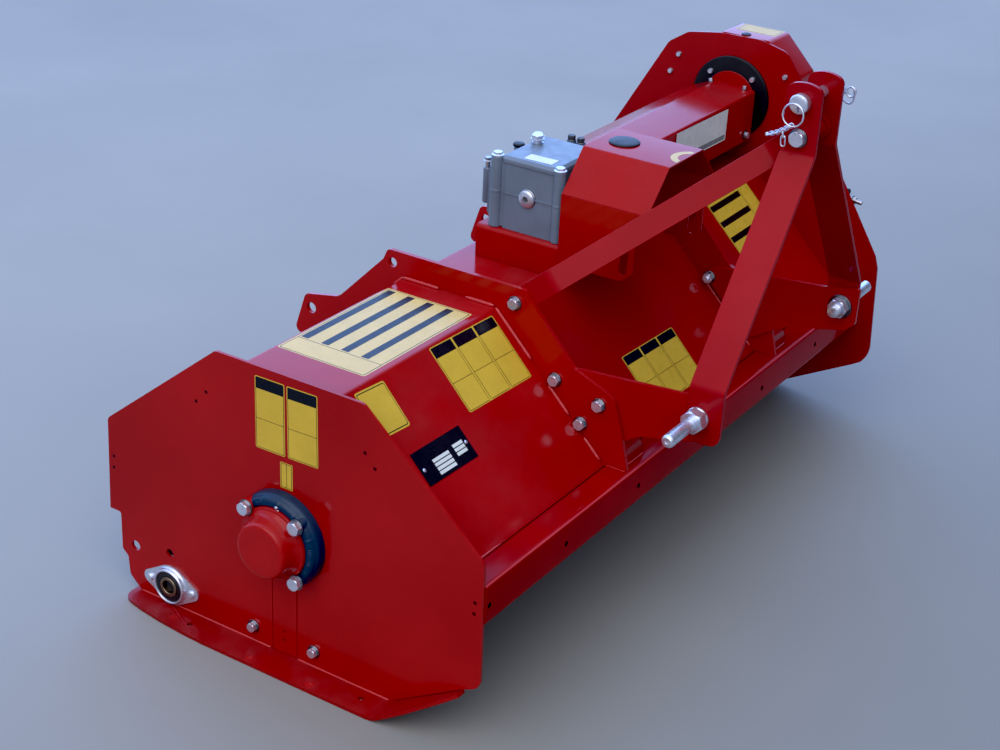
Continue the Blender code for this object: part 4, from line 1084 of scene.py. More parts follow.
# =============================================================================
# plain end: hub, half ring, roller bearing, small bolts
# =============================================================================
RY, RZ = ROTOR
hub = [(0, 0.3), (61.4, 0.3), (62.0, 1.0), (62.0, 28.6), (61.2, 30.1), (59.4, 30.7), (0, 30.7)]
bm = bmesh.new()
join_into(bm, lathe_mesh("h", hub, (0, RY, RZ), (-1, 0, 0), 96))
for a, h in ((45, 31.0), (315, 14.0)):
    r = math.radians(a)
    join_into(bm, lathe_mesh("b", [(0, 0.4), (12.4, 0.4), (12.0, 4.0), (11.4, h - 1.4), (10.6, h), (0, h)], (0, RY + 70 * math.cos(r), RZ + 70 * math.sin(r)), (-1, 0, 0), 32))
mesh = bpy.data.meshes.new("hub_flange")
bm.to_mesh(mesh)
bm.free()
finish_obj("hub_flange", mesh, RED, "frame", slot=RP, angle=35)
lathe("hub_cup", [(0, 30.2), (58.0, 30.2), (57.2, 31.4), (54.6, 33.6), (52.2, 37.5), (50.2, 43), (48.6, 49), (47.4, 54.5), (46.2, 57.6), (44.4, 59.7), (42.0, 60.7), (38.0, 60.95), (20, 60.95), (0, 60.9)],
      (0, RY, RZ), (-1, 0, 0), RED, steps=96, slot=RP, node="right_bearing_housing", angle=25)
for i, b in enumerate((45, 135, 225, 315)):
    bb = math.radians(b)
    q = 71.5 if b == 315 else 70.0
    bolt(f"hub_bolt_{i + 1}", (-14.2 if b == 315 else -31.2, RY + q * math.cos(bb), RZ + q * math.sin(bb)), (-1, 0, 0), 16.0 if b == 315 else 20.5, 9.0, 0 if b == 315 else 13.2, 2.0, spin=0.2 + 0.6 * i)
# grease nipple on the flange's edge
lathe("hub_grease_nipple", [(0, -2.0), (4.0, -2.0), (4.0, 3.0), (2.7, 3.8), (2.4, 6.8), (3.1, 7.8), (3.1, 9.0), (1.9, 10.2), (0, 10.5)], (-23.0, 19.0, 286.0), (-0.55, -0.05, 0.83), ZINC_DARK, slot="zinc_plated", steps=20)

# half ring: a thick moulding that falls from the hub's face to a rounded rim, with shallow ribs
prof = [(62.4, 0.4), (62.4, 24.8), (63.2, 26.4), (65.0, 27.2), (70.0, 27.0), (73.6, 25.4), (76.2, 22.4), (77.4, 19.4), (78.6, 17.6), (80.4, 15.4), (81.2, 12.0), (81.4, 7.0), (81.4, 0.4)]
verts, faces = [], []
A0, A1, NA = 47.0, 241.0, 192
for k in range(NA + 1):
    deg = A0 + (A1 - A0) * k / NA
    a = math.radians(deg)
    end = min(k, NA - k)
    squeeze = 1.0 if end > 4 else (0.62 + 0.095 * end)
    for j, (r, h) in enumerate(prof):
        ripple = 0.0
        if 3 <= j <= 6 and 168 < deg < 218:
            ripple = 1.0 * (0.5 + 0.5 * math.sin(deg * 2.2))
        if 3 <= j <= 7:
            ripple -= sum(1.1 * math.exp(-((deg - c) / 1.5) ** 2) for c in (69.0, 96.0, 123.0, 158.0))
        verts.append(W(-(h * squeeze - ripple), RY + r * math.cos(a), RZ + r * math.sin(a)))
m = len(prof)
for k in range(NA):
    for j in range(m):
        jj = (j + 1) % m
        faces.append((k * m + j, k * m + jj, (k + 1) * m + jj, (k + 1) * m + j))
faces.append(tuple(range(m)))
faces.append(tuple(NA * m + j for j in reversed(range(m))))
bm = bmesh.new()
join_into(bm, mesh_from("ring", verts, faces))
for a in (135, 225):
    r = math.radians(a)
    join_into(bm, lathe_mesh("b", [(0, 0.4), (10.4, 0.4), (10.4, 29.6), (9.4, 31.0), (0, 31.0)], (0, RY + 70 * math.cos(r), RZ + 70 * math.sin(r)), (-1, 0, 0), 32))
mesh = bpy.data.meshes.new("half_ring_moulding")
bm.to_mesh(mesh)
bm.free()
finish_obj("half_ring_moulding", mesh, NAVY, "frame", slot="navy_polymer", node="half_ring_guard", angle=40)


# roller bearings: pressed oval flanges
def oval_loop(mid, ear, reach, n=96):
    out = []
    for k in range(n):
        t = 2 * math.pi * k / n
        c, s = math.cos(t), math.sin(t)
        centre, r = max(((0.0, mid), (reach, ear), (-reach, ear)), key=lambda q: c * q[0] + q[1])
        out.append((ROLLER[0] + centre + r * c, ROLLER[1] + r * s))
    return out


for side, s, x in (("right", -1, -0.3), ("left", 1, 1374.3)):
    bm = bmesh.new()
    lo_x, hi_x = sorted((x, x + s * 3.2))
    join_into(bm, prism_mesh("o", [oval_loop(36.6, 13.0, 46.0)], PLACE["X"], lo_x, hi_x))
    join_into(bm, lathe_mesh("d", [(35.6, 2.6), (34.8, 3.1), (33.6, 4.6), (32.7, 6.8), (32.0, 9.2), (31.2, 10.7), (29.9, 11.4), (28.5, 11.0), (27.7, 9.8), (27.5, 2.6)], (x, *ROLLER), (s, 0, 0), 64))
    mesh = bpy.data.meshes.new(f"{side}_roller_flange")
    bm.to_mesh(mesh)
    bm.free()
    finish_obj(f"{side}_roller_flange", mesh, ZINC, "frame", slot="zinc_plated", node=f"{side}_roller_bearing", bevel=0.7, segs=2, angle=40)
    lathe(f"{side}_roller_seal", [(17.9, 4), (17.9, 8.6), (18.7, 9.2), (22.4, 9.4), (23.1, 8.8), (26.6, 8.9), (27.4, 8.2), (27.4, 4)], (x, *ROLLER), (s, 0, 0), SEAL, slot="black_polymer", steps=56)
    lathe(f"{side}_roller_race", [(12.0, 3), (12.0, 9.9), (12.6, 10.6), (17.1, 10.6), (17.8, 9.9), (17.8, 3)], (x, *ROLLER), (s, 0, 0), BRONZE, slot="machined_steel", steps=56)
    lathe(f"{side}_roller_bore", [(0, 5.0), (9.0, 5.0), (11.6, 4.6), (11.9, 4.0), (11.9, 3.2), (0, 3.2)], (x, *ROLLER), (s, 0, 0), SEAL, slot="black_polymer", steps=40)
    for k, dy in enumerate((45.0, -45.0)):
        bolt(f"{side}_roller_screw_{k + 1}", (x + s * 3.2, ROLLER[0] + dy, ROLLER[1]), (s, 0, 0), 9.5, 4.0, 0, 0, flange=True, spin=0.4 * k)

def small_bolt(name, at, direction, af=12.0, **kw):
    return bolt(name, at, direction, af, 5.5, af * 0.82, 1.8, **kw)


# =============================================================================
# gearbox
# =============================================================================
BX0, BX1, BY0, BY1, BZ0, BZ1 = 600.0, 736.0, -70.0, 38.0, 556.3, 675.0
GAP = 0.3
body_outline = rounded([(BX0, BY0), (BX1, BY0), (BX1, BY1), (BX0, BY1)], 10.0, 8)
bm = bmesh.new()
join_into(bm, prism_mesh("g", [rounded([(BX0, BY0), (BX1, BY0), (BX1, BY1), (BX0, BY1)], 10.0, 8)], PLACE["Z"], BZ0, BZ1 - 0.2))
mesh = bpy.data.meshes.new("casing")
bm.to_mesh(mesh)
bm.free()
finish_obj("casing", mesh, CAST, "frame", slot="grey_cast", node="gearbox_housing", bevel=1.5, segs=3)
# pattern split line, standing a little proud round the casing
plate("casing_split_bead", "Z", rounded([(BX0 - 1.7, BY0 - 1.7), (BX1 + 1.7, BY0 - 1.7), (BX1 + 1.7, BY1 + 1.7), (BX0 - 1.7, BY1 + 1.7)], 11.7, 8), 620.4, 623.8, CAST, bevel=0.6, segs=2, slot="grey_cast")
corners = [(BX0 + 4, BY0 - 5.4), (BX0 + 4, BY1 + 11.5), (BX1 - 4, BY0 - 5.4), (BX1 - 4, BY1 + 11.5)]
for i, (x, y) in enumerate(corners):
    q = 10.2 if y < 0 else 11.4
    lathe(f"casing_pillar_{i + 1}", [(0, 556.4), (q, 556.6), (q + 0.3, 560), (q, 562), (q, 619.8), (q + 0.5, 621.0), (q + 0.5, 623.4), (q, 624.6), (q, 682.0), (q - 0.6, 684.0), (0, 684.2)],
          (x, y, 0), (0, 0, 1), CAST, slot="grey_cast", steps=40, angle=12)
    bolt(f"casing_bolt_{i + 1}", (x, y, 684.2), (0, 0, 1), 15.0, 6.0, 0, 0, flange=True, spin=0.25 * i)
# webs that tie the pillars to the walls
for i, (x, y) in enumerate(corners):
    yy = (BY0 - 5.4, BY0 + 6) if y < 0 else (BY1 - 6, BY1 + 11.5)
    box_obj(f"casing_web_{i + 1}", (601.2 if x < 660 else 722.0, min(yy), 558), (614.0 if x < 660 else 734.8, max(yy), 676), CAST, bevel=1.2, segs=2, slot="grey_cast")
# rear cap with its shorter pillars
plate("casing_rear_cap", "X", rounded([(BY1 - 2, 566), (74, 566), (74, 660), (BY1 - 2, 660)], {1: 10, 2: 14}, 6), 614, 722, CAST, bevel=3.0, segs=3, slot="grey_cast")
for i, x in enumerate((621.0, 715.0)):
    lathe(f"rear_pillar_{i + 1}", [(0, 586), (6.4, 586.2), (7.6, 589), (7.6, 648.6), (6.6, 650.2), (0, 650.4)], (x, 80.0, 0), (0, 0, 1), CAST, slot="grey_cast", steps=32, angle=28)
    lathe(f"rear_stud_{i + 1}", [(0, 650), (4.4, 650), (4.4, 662.0), (0, 662.0)], (x, 80.0, 0), (0, 0, 1), ZINC_DARK, slot="zinc_plated", steps=24, angle=28)
    bolt(f"rear_stud_nut_{i + 1}", (x, 80.0, 661.5), (0, 0, 1), 11.0, 7.0, 0, 0, flange=True, spin=0.2, mat=ZINC_DARK)
lathe("casing_input_nose", [(0, 69), (43, 69), (42.5, 72), (41, 75), (40, 83.4), (38.8, 84.2), (24, 84.2), (23, 83), (18.2, 82.6), (18.2, 69)], (668.0, 0, 618.0), (0, -1, 0), CAST, slot="grey_cast", steps=64, angle=28)
lathe("casing_output_nose", [(0, 734), (47, 734), (46.5, 737), (44.5, 739.4), (44.0, 751.2), (42.8, 752), (24, 752), (15.8, 751.6), (15.8, 734)], (0, SHAFT[0], SHAFT[1]), (1, 0, 0), CAST, slot="grey_cast", steps=64, angle=28)
# cover: thick lid with a broad chamfer
lid = rounded([(BX0 - 2.5, BY0 - 4), (BX1 + 2.5, BY0 - 4), (BX1 + 2.5, BY1 + 4), (BX0 - 2.5, BY1 + 4)], 12.0, 8)
lid_in = rounded([(BX0 + 3.5, BY0 + 2), (BX1 - 3.5, BY0 + 2), (BX1 - 3.5, BY1 - 2), (BX0 + 3.5, BY1 - 2)], 9.0, 8)
bm = bmesh.new()
rows = []
for loop, z in ((lid, 675.3), (lid, 682.4), (lid_in, 687.4)):
    rows.append([bm.verts.new(W(x, y, z)) for x, y in loop])
for a, b in zip(rows, rows[1:]):
    for k in range(len(a)):
        j = (k + 1) % len(a)
        bm.faces.new((a[k], a[j], b[j], b[k]))
bm.faces.new(rows[-1])
bm.faces.new(list(reversed(rows[0])))
bmesh.ops.recalc_face_normals(bm, faces=bm.faces)
mesh = bpy.data.meshes.new("casing_lid")
bm.to_mesh(mesh)
bm.free()
finish_obj("casing_lid", mesh, CAST, "frame", slot="grey_cast", node="gearbox_cover", bevel=1.4, segs=3, angle=25)
# breather: turned body with hexagonal cap
bm = bmesh.new()
join_into(bm, lathe_mesh("b", [(0, 0.2), (9.6, 0.2), (10.0, 0.8), (10.0, 2.4), (7.6, 3.0), (7.4, 5.6), (11.4, 6.2), (11.9, 7.0), (11.9, 8.6), (0, 8.6)], (692.0, 26.0, 687.4), (0, 0, 1), 48))
join_into(bm, hex_mesh("h", (692.0, 26.0, 687.4), (0, 0, 1), 19.0, 8.4, 15.4, 0.4))
mesh = bpy.data.meshes.new("breather")
bm.to_mesh(mesh)
bm.free()
finish_obj("breather", mesh, ZINC, "frame", slot="zinc_plated", node="breather_plug", angle=28)
# level plug: flanged, with a hexagonal socket and a washer
lathe("level_plug_washer", [(9, 0.1), (16.2, 0.1), (16.8, 0.6), (16.8, 1.8), (16.0, 2.3), (9, 2.3)], (599.7, SHAFT[0], 621.5), (-1, 0, 0), ZINC_DARK, slot="zinc_plated", steps=48)
bm = bmesh.new()
join_into(bm, lathe_mesh("p", [(0, 2.0), (14.6, 2.0), (15.2, 2.8), (15.2, 4.6), (14.2, 5.8), (11.6, 6.9), (6.6, 7.3), (6.4, 6.9), (6.2, 3.0), (0, 2.9)], (599.7, SHAFT[0], 621.5), (-1, 0, 0), 48))
join_into(bm, prism_mesh("x", [[(SHAFT[0] + a, 621.5 + b) for a, b in circle(0, 0, 6.6, 36)], [(SHAFT[0] + a, 621.5 + b) for a, b in hex_profile(10.4)]], PLACE["X"], 592.3, 596.6))
mesh = bpy.data.meshes.new("level_plug_body")
bm.to_mesh(mesh)
bm.free()
finish_obj("level_plug_body", mesh, ZINC, "frame", slot="zinc_plated", node="level_plug", angle=28)
lathe("level_plug_socket", [(0, 3.0), (6.3, 3.0), (6.3, 3.5), (0, 3.4)], (599.7, SHAFT[0], 621.5), (-1, 0, 0), FORGED, slot="forged_steel", steps=32)
# rubber cap and bolts at the back and on the output flange
lathe("casing_cap_post", [(0, 655), (8.2, 655), (8.2, 675.2), (0, 675.2)], (688.0, 61.0, 0.0), (0, 0, 1), CAST, slot="grey_cast", steps=32)
lathe("casing_rubber_cap", [(0, 0), (10, 0), (10.4, 1.0), (10.4, 4.0), (9, 5.6), (5, 6.2), (0, 6.4)], (688.0, 61.0, 675.0), (0, 0, 1), BLACK, slot="black_polymer", steps=36)
for i, (y, z) in enumerate(((-16 + 31, 618 + 31), (-16 - 31, 618 + 31), (-16 + 31, 618 - 31), (-16 - 31, 618 - 31))):
    bolt(f"output_bolt_{i + 1}", (752.0, y, z), (1, 0, 0), 11.0, 6.0, 8.6, 1.6, spin=0.2 * i)
box_obj("output_bracket", (752.4, -34.0, 640.0), (777.0, 12.0, 673.0), CAST, bevel=2.0, segs=3, slot="grey_cast")
for i, (x, y) in enumerate(((765.5, 0.5), (763.5, -19.5))):
    lathe(f"bracket_boss_{i + 1}", [(0, 672.5), (8.6, 672.5), (8.2, 678.6), (7.6, 679.2), (0, 679.2)], (x, y, 0), (0, 0, 1), CAST, slot="grey_cast", steps=32)
    bolt(f"bracket_bolt_{i + 1}", (x, y, 679.2), (0, 0, 1), 12.0, 7.5, 8.6, 1.8, spin=0.3 * i, mat=FORGED)

# =============================================================================
# gearbox base, shaft guard, tunnel
# =============================================================================
folded("gearbox_bridge", "Y", [(588.9, 497.4), (588.9, 556.0), (830.1, 556.0), (830.1, 497.4)], 5.0, -1.0, -89.4, 78.0, RED, radius=8.0, slot=RP, node="gearbox_base", bevel=0.8)

GY0, GY1 = -254.0, -90.0
folded("shaft_guard_roof", "Y", [(588.0, 652.0), (650.0, 719.9), (769.0, 719.9), (831.0, 652.0)], 3.0, -1.0, GY0, GY1, RED_ROOF, radius=5.0, slot=RP, node="pto_guard", bevel=0.6)
side_outline = rounded([(GY1, 527), (-214, 527), (-236, 546), (-236, 590), (GY0, 651.5), (GY1, 651.5)], {1: 10, 2: 8, 3: 14}, 6)
slot = slot_loop(-217.5, 570.0, 62.0, 15.0, math.pi / 2 + 0.05, 8)
plate("right_guard_side", "X", side_outline, 586.5, 589.5, RED, holes=[slot], bevel=0.6, slot=RP)
plate("left_guard_side", "X", side_outline, 829.5, 832.5, RED, holes=[slot], bevel=0.0, slot=RP)
lathe("guard_plug", [(0, 0.3), (26.6, 0.3), (27.0, 0.7), (26.6, 1.8), (25.0, 2.9), (22.0, 3.5), (12, 3.9), (0, 4.0)], (HX, -135.0, 720.4), (0, 0, 1), BLACK, slot="black_polymer", node="pto_guard_plug", steps=64)

TUN = [(-72.0, 545.0), (-72.0, 643.6), (14.0, 649.6), (78.0, 624.0), (78.0, 545.0)]
folded("shaft_tunnel", "X", TUN, 3.0, -1.0, 838.0, 1359.5, RED, radius=5.0, slot=RP, node="cross_shaft_guard", bevel=0.6)

# drive end ring, bolts, and the flanged end of the tunnel
lathe("tunnel_end_flange", [(20, 1359.8), (53.6, 1359.8), (54.4, 1360.4), (54.4, 1361.2), (20, 1361.2), (20, 1359.8)], (0, SHAFT[0], SHAFT[1]), (1, 0, 0), RED, slot=RP, steps=96, angle=28)
lathe("drive_ring", [(46, 1361.4), (80, 1361.4), (82.6, 1361.9), (83.9, 1363.6), (84, 1365.4), (84, 1368.7), (46, 1368.7), (46, 1361.4)], (0, SHAFT[0], SHAFT[1]), (1, 0, 0), BLACK, slot="black_polymer", node="drive_flange_ring", steps=96, angle=28)
for k in range(4):
    a = math.radians(45 + 90 * k)
    bolt(f"drive_ring_bolt_{k + 1}", (1361.3, SHAFT[0] + 66 * math.cos(a), SHAFT[1] + 66 * math.sin(a)), (-1, 0, 0), 9.0, 5.0, 5.6, 1.2, spin=0.3 * k)
for k, (y, z) in enumerate(((109.4, 682.0), (125.3, 644.0), (-128.5, 681.6), (-140.0, 612.0))):
    bolt(f"cover_screw_{k + 1}", (1368.9, y, z), (-1, 0, 0), 8.6, 4.4, 5.6, 1.2, spin=0.4 * k)
small_bolt("tunnel_bolt_1", (1330.0, -73.6, 560.0), (0, -1, 0))
small_bolt("tunnel_bolt_2", (1348.5, 21.7, 646.4), (0, 0.35, 0.937), 7.0)
small_bolt("tunnel_bolt_3", (1350.0, -52.2, 645.0), (0, 0, 1), 7.0)

# tab with two fixings on the outer face of the drive plate
plate("cover_tab", "X", rounded([(-240, 438), (-272, 438), (-278, 456), (-272, 484), (-240, 484)], 6, 5), 1374.4, 1379.4, RED, bevel=0.8, slot=RP)
box_obj("cover_tab_block", (1379.3, -277.0, 444.0), (1406.0, -267.0, 468.0), RED, bevel=1.2, segs=2, slot=RP)
lathe("cover_tab_stud", [(0, -32), (4.6, -32), (4.6, 13.4), (4.0, 14.6), (0, 14.8)], (1396.0, -299.0, 455.0), (0, -1, -0.12), ZINC_DARK, slot="zinc_plated", steps=28)
bolt("cover_tab_nut", (1396.0, -292.0, 455.9), (0, -1, -0.12), 14.0, 7.0, 9.4, 1.8, mat=ZINC_DARK)
lathe("cover_tab_knob", [(0, -8), (6.0, -8), (6.0, 0), (6.5, 1.5), (6.5, 6.0), (5.0, 7.6), (0, 7.8)], (1386.0, -281.0, 474.0), (0, -1, 0.1), BLACK, slot="black_polymer", steps=28)

# belt cover: pressed pan
COVER = rounded([(20, 745), (-84, 745), (-150, 678), (-152, 560), (-88, 150), (-48, 116), (102, 116), (140, 150), (140, 560), (108, 676)], 16.0, 8)


def inset(loop, d):
    n = len(loop)
    area = sum(loop[i][0] * loop[(i + 1) % n][1] - loop[(i + 1) % n][0] * loop[i][1] for i in range(n))
    sgn = 1.0 if area > 0 else -1.0
    out = []
    for i in range(n):
        p, q, r = Vector(loop[i - 1]), Vector(loop[i]), Vector(loop[(i + 1) % n])
        e0, e1 = (q - p), (r - q)
        if e0.length < 1e-6 or e1.length < 1e-6:
            e0 = e1 if e0.length < 1e-6 else e0
            e1 = e0 if e1.length < 1e-6 else e1
        e0, e1 = e0.normalized(), e1.normalized()
        n0 = Vector((-e0.y, e0.x)) * sgn
        n1 = Vector((-e1.y, e1.x)) * sgn
        m = (n0 + n1).normalized()
        k = d / max(0.4, m.dot(n0))
        out.append((q.x + m.x * k, q.y + m.y * k))
    return out


bm = bmesh.new()
rows = []
levels = [(3.0, 1374.4), (0.0, 1374.4), (0.0, 1458.0), (0.6, 1461.4), (2.4, 1464.0), (5.0, 1464.9)]
for d, x in levels:
    rows.append([bm.verts.new(W(x, y, z)) for y, z in inset(COVER, d)])
inner = [bm.verts.new(W(1462.0, y, z)) for y, z in inset(COVER, 3.0)]
for a, b in zip(rows, rows[1:]):
    for k in range(len(a)):
        j = (k + 1) % len(a)
        bm.faces.new((a[k], a[j], b[j], b[k]))
for k in range(len(inner)):
    j = (k + 1) % len(inner)
    bm.faces.new((rows[0][k], inner[k], inner[j], rows[0][j]))
bm.faces.new(rows[-1])
bm.faces.new(inner)
bmesh.ops.recalc_face_normals(bm, faces=bm.faces)
mesh = bpy.data.meshes.new("belt_pan")
bm.to_mesh(mesh)
bm.free()
finish_obj("belt_pan", mesh, RED, "frame", slot=RP, node="belt_cover", angle=35)
lathe("cover_plug", [(0, 0.1), (9.6, 0.1), (10, 0.6), (9.6, 1.6), (7.5, 2.4), (0, 2.6)], (1386.0, -27.0, 745.0), (0, 0, 1), BLACK, slot="black_polymer", steps=36)


# =============================================================================
# plain patches on the sheet metal
# =============================================================================
def vinyl(name, base, rough=(0.22, 0.36), edge=0.0):
    n = Nodes(name, base, 0.3)
    col = n.mix(n.range(n.noise(24.0, 4), 0.3, 0.7, 0, 1), tuple(c * 0.93 for c in base), tuple(min(1.0, c * 1.05 + 0.001) for c in base))
    col = n.mix(n.range(n.noise(210.0, 3), 0.62, 0.78, 0, 0.25), col, tuple(c * 0.7 for c in base))
    n.color(col)
    n.rough(n.range(n.noise(60.0, 4), 0.3, 0.7, *rough))
    n.bsdf.inputs["Specular IOR Level"].default_value = 0.22
    n.bump(n.noise(35.0, 3), 0.06, 0.0005)
    return n.mat


YELLOW = vinyl("patch_yellow", (0.60, 0.40, 0.05))
CREAM = vinyl("patch_cream", (0.64, 0.45, 0.15))
CREAM_PALE = vinyl("patch_cream_pale", (0.62, 0.47, 0.22), (0.45, 0.6))
INK = vinyl("patch_dark", (0.012, 0.012, 0.016))
PALE = vinyl("patch_pale", (0.66, 0.70, 0.68))
GREENISH = vinyl("patch_grey", (0.2, 0.24, 0.24))


def panel(name, tl, tr, bl, out, layers, lift=0.12, step=0.07, slot=None):
    """Layers (u0, v0, u1, v1, radius mm, level, material), u and v from 0 to 1 over the panel."""
    tl, tr, bl = Vector(tl), Vector(tr), Vector(bl)
    u, v = tr - tl, bl - tl
    lu = u.length
    u.normalize()
    v = v - u * v.dot(u)
    lv = v.length
    v.normalize()
    n = u.cross(v).normalized()
    if n.dot(Vector(out)) < 0:
        n = -n
    mats, verts, faces, idx = [], [], [], []
    for u0, v0, u1, v1, r, level, mat in layers:
        if mat not in mats:
            mats.append(mat)
        pts = [(u0 * lu, v0 * lv), (u1 * lu, v0 * lv), (u1 * lu, v1 * lv), (u0 * lu, v1 * lv)]
        loop = rounded(pts, r, 4) if r else pts
        base = len(verts)
        h = lift + step * level
        k = len(loop)
        for a, b in loop:
            verts.append(W(*(tl + u * a + v * b + n * h)))
        for a, b in loop:
            verts.append(W(*(tl + u * a + v * b + n * 0.0)))
        faces.append([base + i for i in range(k)])
        idx.append(mats.index(mat))
        for i in range(k):
            j = (i + 1) % k
            faces.append([base + i, base + j, base + k + j, base + k + i])
            idx.append(mats.index(mat))
    mesh = bpy.data.meshes.new(name)
    mesh.from_pydata(verts, [], faces)
    for m in mats:
        mesh.materials.append(m)
    for poly, i in zip(mesh.polygons, idx):
        poly.material_index = i
    bm = bmesh.new()
    bm.from_mesh(mesh)
    for f in bm.faces:
        f.normal_update()
    # faces point away from the sheet they lie on
    origin_n = n
    for f in bm.faces:
        c = f.calc_center_median()
        if abs(f.normal.dot(origin_n)) > 0.9 and f.normal.dot(origin_n) < 0:
            f.normal_flip()
    bm.to_mesh(mesh)
    bm.free()
    return finish_obj(name, mesh, None, "frame", slot=slot, smooth=False)


def cells(u0, u1, lu, lv, header=True, split=0.58):
    """One column: thin dark frame, dark head strip, two plain fields."""
    b, t = 1.5, 0.9
    x = lambda mm: mm / lu
    y = lambda mm: mm / lv
    out = [(u0 + x(b), y(b), u1 - x(b), 1 - y(b), 2.0, 1, INK)]
    top = 0.17 if header else y(b + t)
    out.append((u0 + x(b + t), top, u1 - x(b + t), split - y(t / 2), 0.8, 2, YELLOW))
    out.append((u0 + x(b + t), split + y(t / 2), u1 - x(b + t), 1 - y(b + t), 0.8, 2, YELLOW))
    return out


SN = (0.0, -0.703, 0.711)


def on_slope(x, y):
    return (x, y, 497.0 + (y + 72.0) * 217.5 / 220.0)


# pair on the plain end plate
for i, (ya, yb) in enumerate(((81.5, 24.0), (20.0, -38.5))):
    lay = [(0, 0, 1, 1, 3.0, 0, YELLOW)] + cells(0, 1, 57.5, 118.0)
    panel(f"end_patch_{i + 1}", (0, ya, 489.5), (0, yb, 490.6 if i else 489.9), (0, ya + 1.4, 367.5 if i else 366.5), (-1, 0, 0), lay)
panel("end_patch_small", (0, 33.0, 357.0), (0, 9.0, 357.2), (0, 34.2, 312.0), (-1, 0, 0),
      [(0, 0, 1, 1, 2.0, 0, YELLOW), (0.06, 0.03, 0.94, 0.97, 1.5, 1, INK), (0.10, 0.05, 0.5, 0.95, 1.0, 2, YELLOW), (0.54, 0.05, 0.90, 0.95, 1.0, 2, YELLOW)])
# square patch on the bevel near the plain end
panel("bevel_patch", on_slope(36.8, -77.5), on_slope(106.1, -80.2), on_slope(25.2, -133.5), SN,
      [(0, 0, 1, 1, 4.0, 0, YELLOW), (0.03, 0.035, 0.97, 0.965, 3.5, 1, INK), (0.045, 0.055, 0.955, 0.945, 3.0, 2, YELLOW)])


def triple(name, tl, tr, bl, lu, lv, splits=(0.56, 0.56, 0.56)):
    lay = [(0, 0, 1, 1, 3.5, 0, YELLOW)]
    for i in range(3):
        lay += cells(i / 3 + 0.004, (i + 1) / 3 - 0.004, lu, lv, header=True, split=splits[i])
    panel(name, tl, tr, bl, SN, lay)


triple("bevel_patch_three", on_slope(231.4, -75.6), on_slope(406.3, -78.9), on_slope(213.6, -160.1), 175.0, 120.0)
triple("bevel_patch_three_far", on_slope(632.4, -204.2), on_slope(807.4, -208.1), on_slope(617.4, -279.7), 175.0, 108.0)
# dark plate on two rivets
lay = [(0, 0, 1, 1, 1.2, 0, INK)]
for r in range(4):
    v0 = 0.42 + 0.125 * r
    lay.append((0.27, v0, 0.60, v0 + 0.095, 0.4, 2, PALE))
    if r < 3:
        lay.append((0.70, v0 - 0.05, 0.90, v0 + 0.045, 0.4, 2, PALE))
panel("dark_plate", on_slope(62.8, -163.1), on_slope(188.6, -164.5), on_slope(55.7, -203.5), SN, lay, lift=0.7)
for i, (x, y) in enumerate(((70.4, -185.4), (181.3, -184.6))):
    px, py, pz = on_slope(x, y)
    lathe(f"dark_plate_rivet_{i + 1}", [(0, 0.6), (3.4, 0.6), (3.2, 1.5), (2.2, 2.1), (0, 2.4)], (px, py, pz), SN, ZINC, slot="zinc_plated", steps=20)
# long patch on top of the hood
tx = lambda mm: (mm - 85.0) / 291.0
lay = [(0, 0, 1, 1, 4.0, 0, CREAM), (0.008, 0.016, 0.992, 0.984, 3.0, 1, INK), (0.0125, 0.024, 0.9875, 0.976, 2.6, 2, CREAM)]
for i, v in enumerate((0.036, 0.27, 0.50, 0.73)):
    lay.append((0.178, v, 0.975, v + 0.085, 1.0, 3, INK))
lay.append((0.163, 0.024, 0.167, 0.976, 0, 3, INK))
panel("hood_patch_top", (85.0, 108.5, 497.0), (376.0, 108.5, 497.0), (88.0, -60.5, 497.0), (0, 0, 1), lay)
# far patch on the bevel
lay = [(0, 0, 1, 1, 4.0, 0, YELLOW), (0.008, 0.02, 0.992, 0.98, 3.0, 1, INK), (0.0125, 0.03, 0.9875, 0.97, 2.6, 2, YELLOW)]
for v in (0.10, 0.345, 0.59, 0.835):
    lay.append((0.02, v, 0.74, v + 0.085, 1.0, 3, INK))
lay.append((0.755, 0.03, 0.762, 0.97, 0, 3, INK))
panel("bevel_patch_long", on_slope(1136.0, -92.0), on_slope(1306.0, -91.0), on_slope(1098.0, -196.0), SN, lay)
panel("lid_patch", (637.0, 3.5, 687.4), (639.5, -52.0, 687.4), (609.0, 2.0, 687.4), (0, 0, 1), [(0, 0, 1, 1, 1.2, 0, INK), (0.012, 0.03, 0.988, 0.97, 1.0, 1, PALE)])
# tunnel, guard roof and belt cover
panel("tunnel_patch", (1027.0, -73.6, 640.0), (1239.0, -73.6, 636.5), (1030.0, -73.6, 577.0), (0, -1, 0),
      [(0, 0, 1, 1, 1.5, 0, PALE), (0.02, 0.80, 0.98, 0.955, 0.8, 1, GREENISH)])
panel("cover_patch", (1409.0, 9.5, 745.0), (1459.0, 10.0, 745.0), (1409.0, -79.0, 745.0), (0, 0, 1),
      [(0, 0, 1, 1, 3.0, 0, CREAM_PALE), (0.06, 0.04, 0.94, 0.96, 2.0, 1, INK), (0.085, 0.055, 0.915, 0.945, 1.6, 2, CREAM_PALE)])
arc_o = [(712.0 + 36 * math.cos(a), -263.0 + 36 * math.sin(a)) for a in [math.radians(22 + 140 * k / 20) for k in range(21)]]
arc_i = [(712.0 + 24 * math.cos(a), -263.0 + 24 * math.sin(a)) for a in [math.radians(22 + 140 * k / 20) for k in range(20, -1, -1)]]
arc = [(x, max(y, -252.0)) for x, y in arc_o + arc_i]
plate("roof_patch", "Z", arc, 719.95, 720.2, CREAM_PALE, bevel=0)

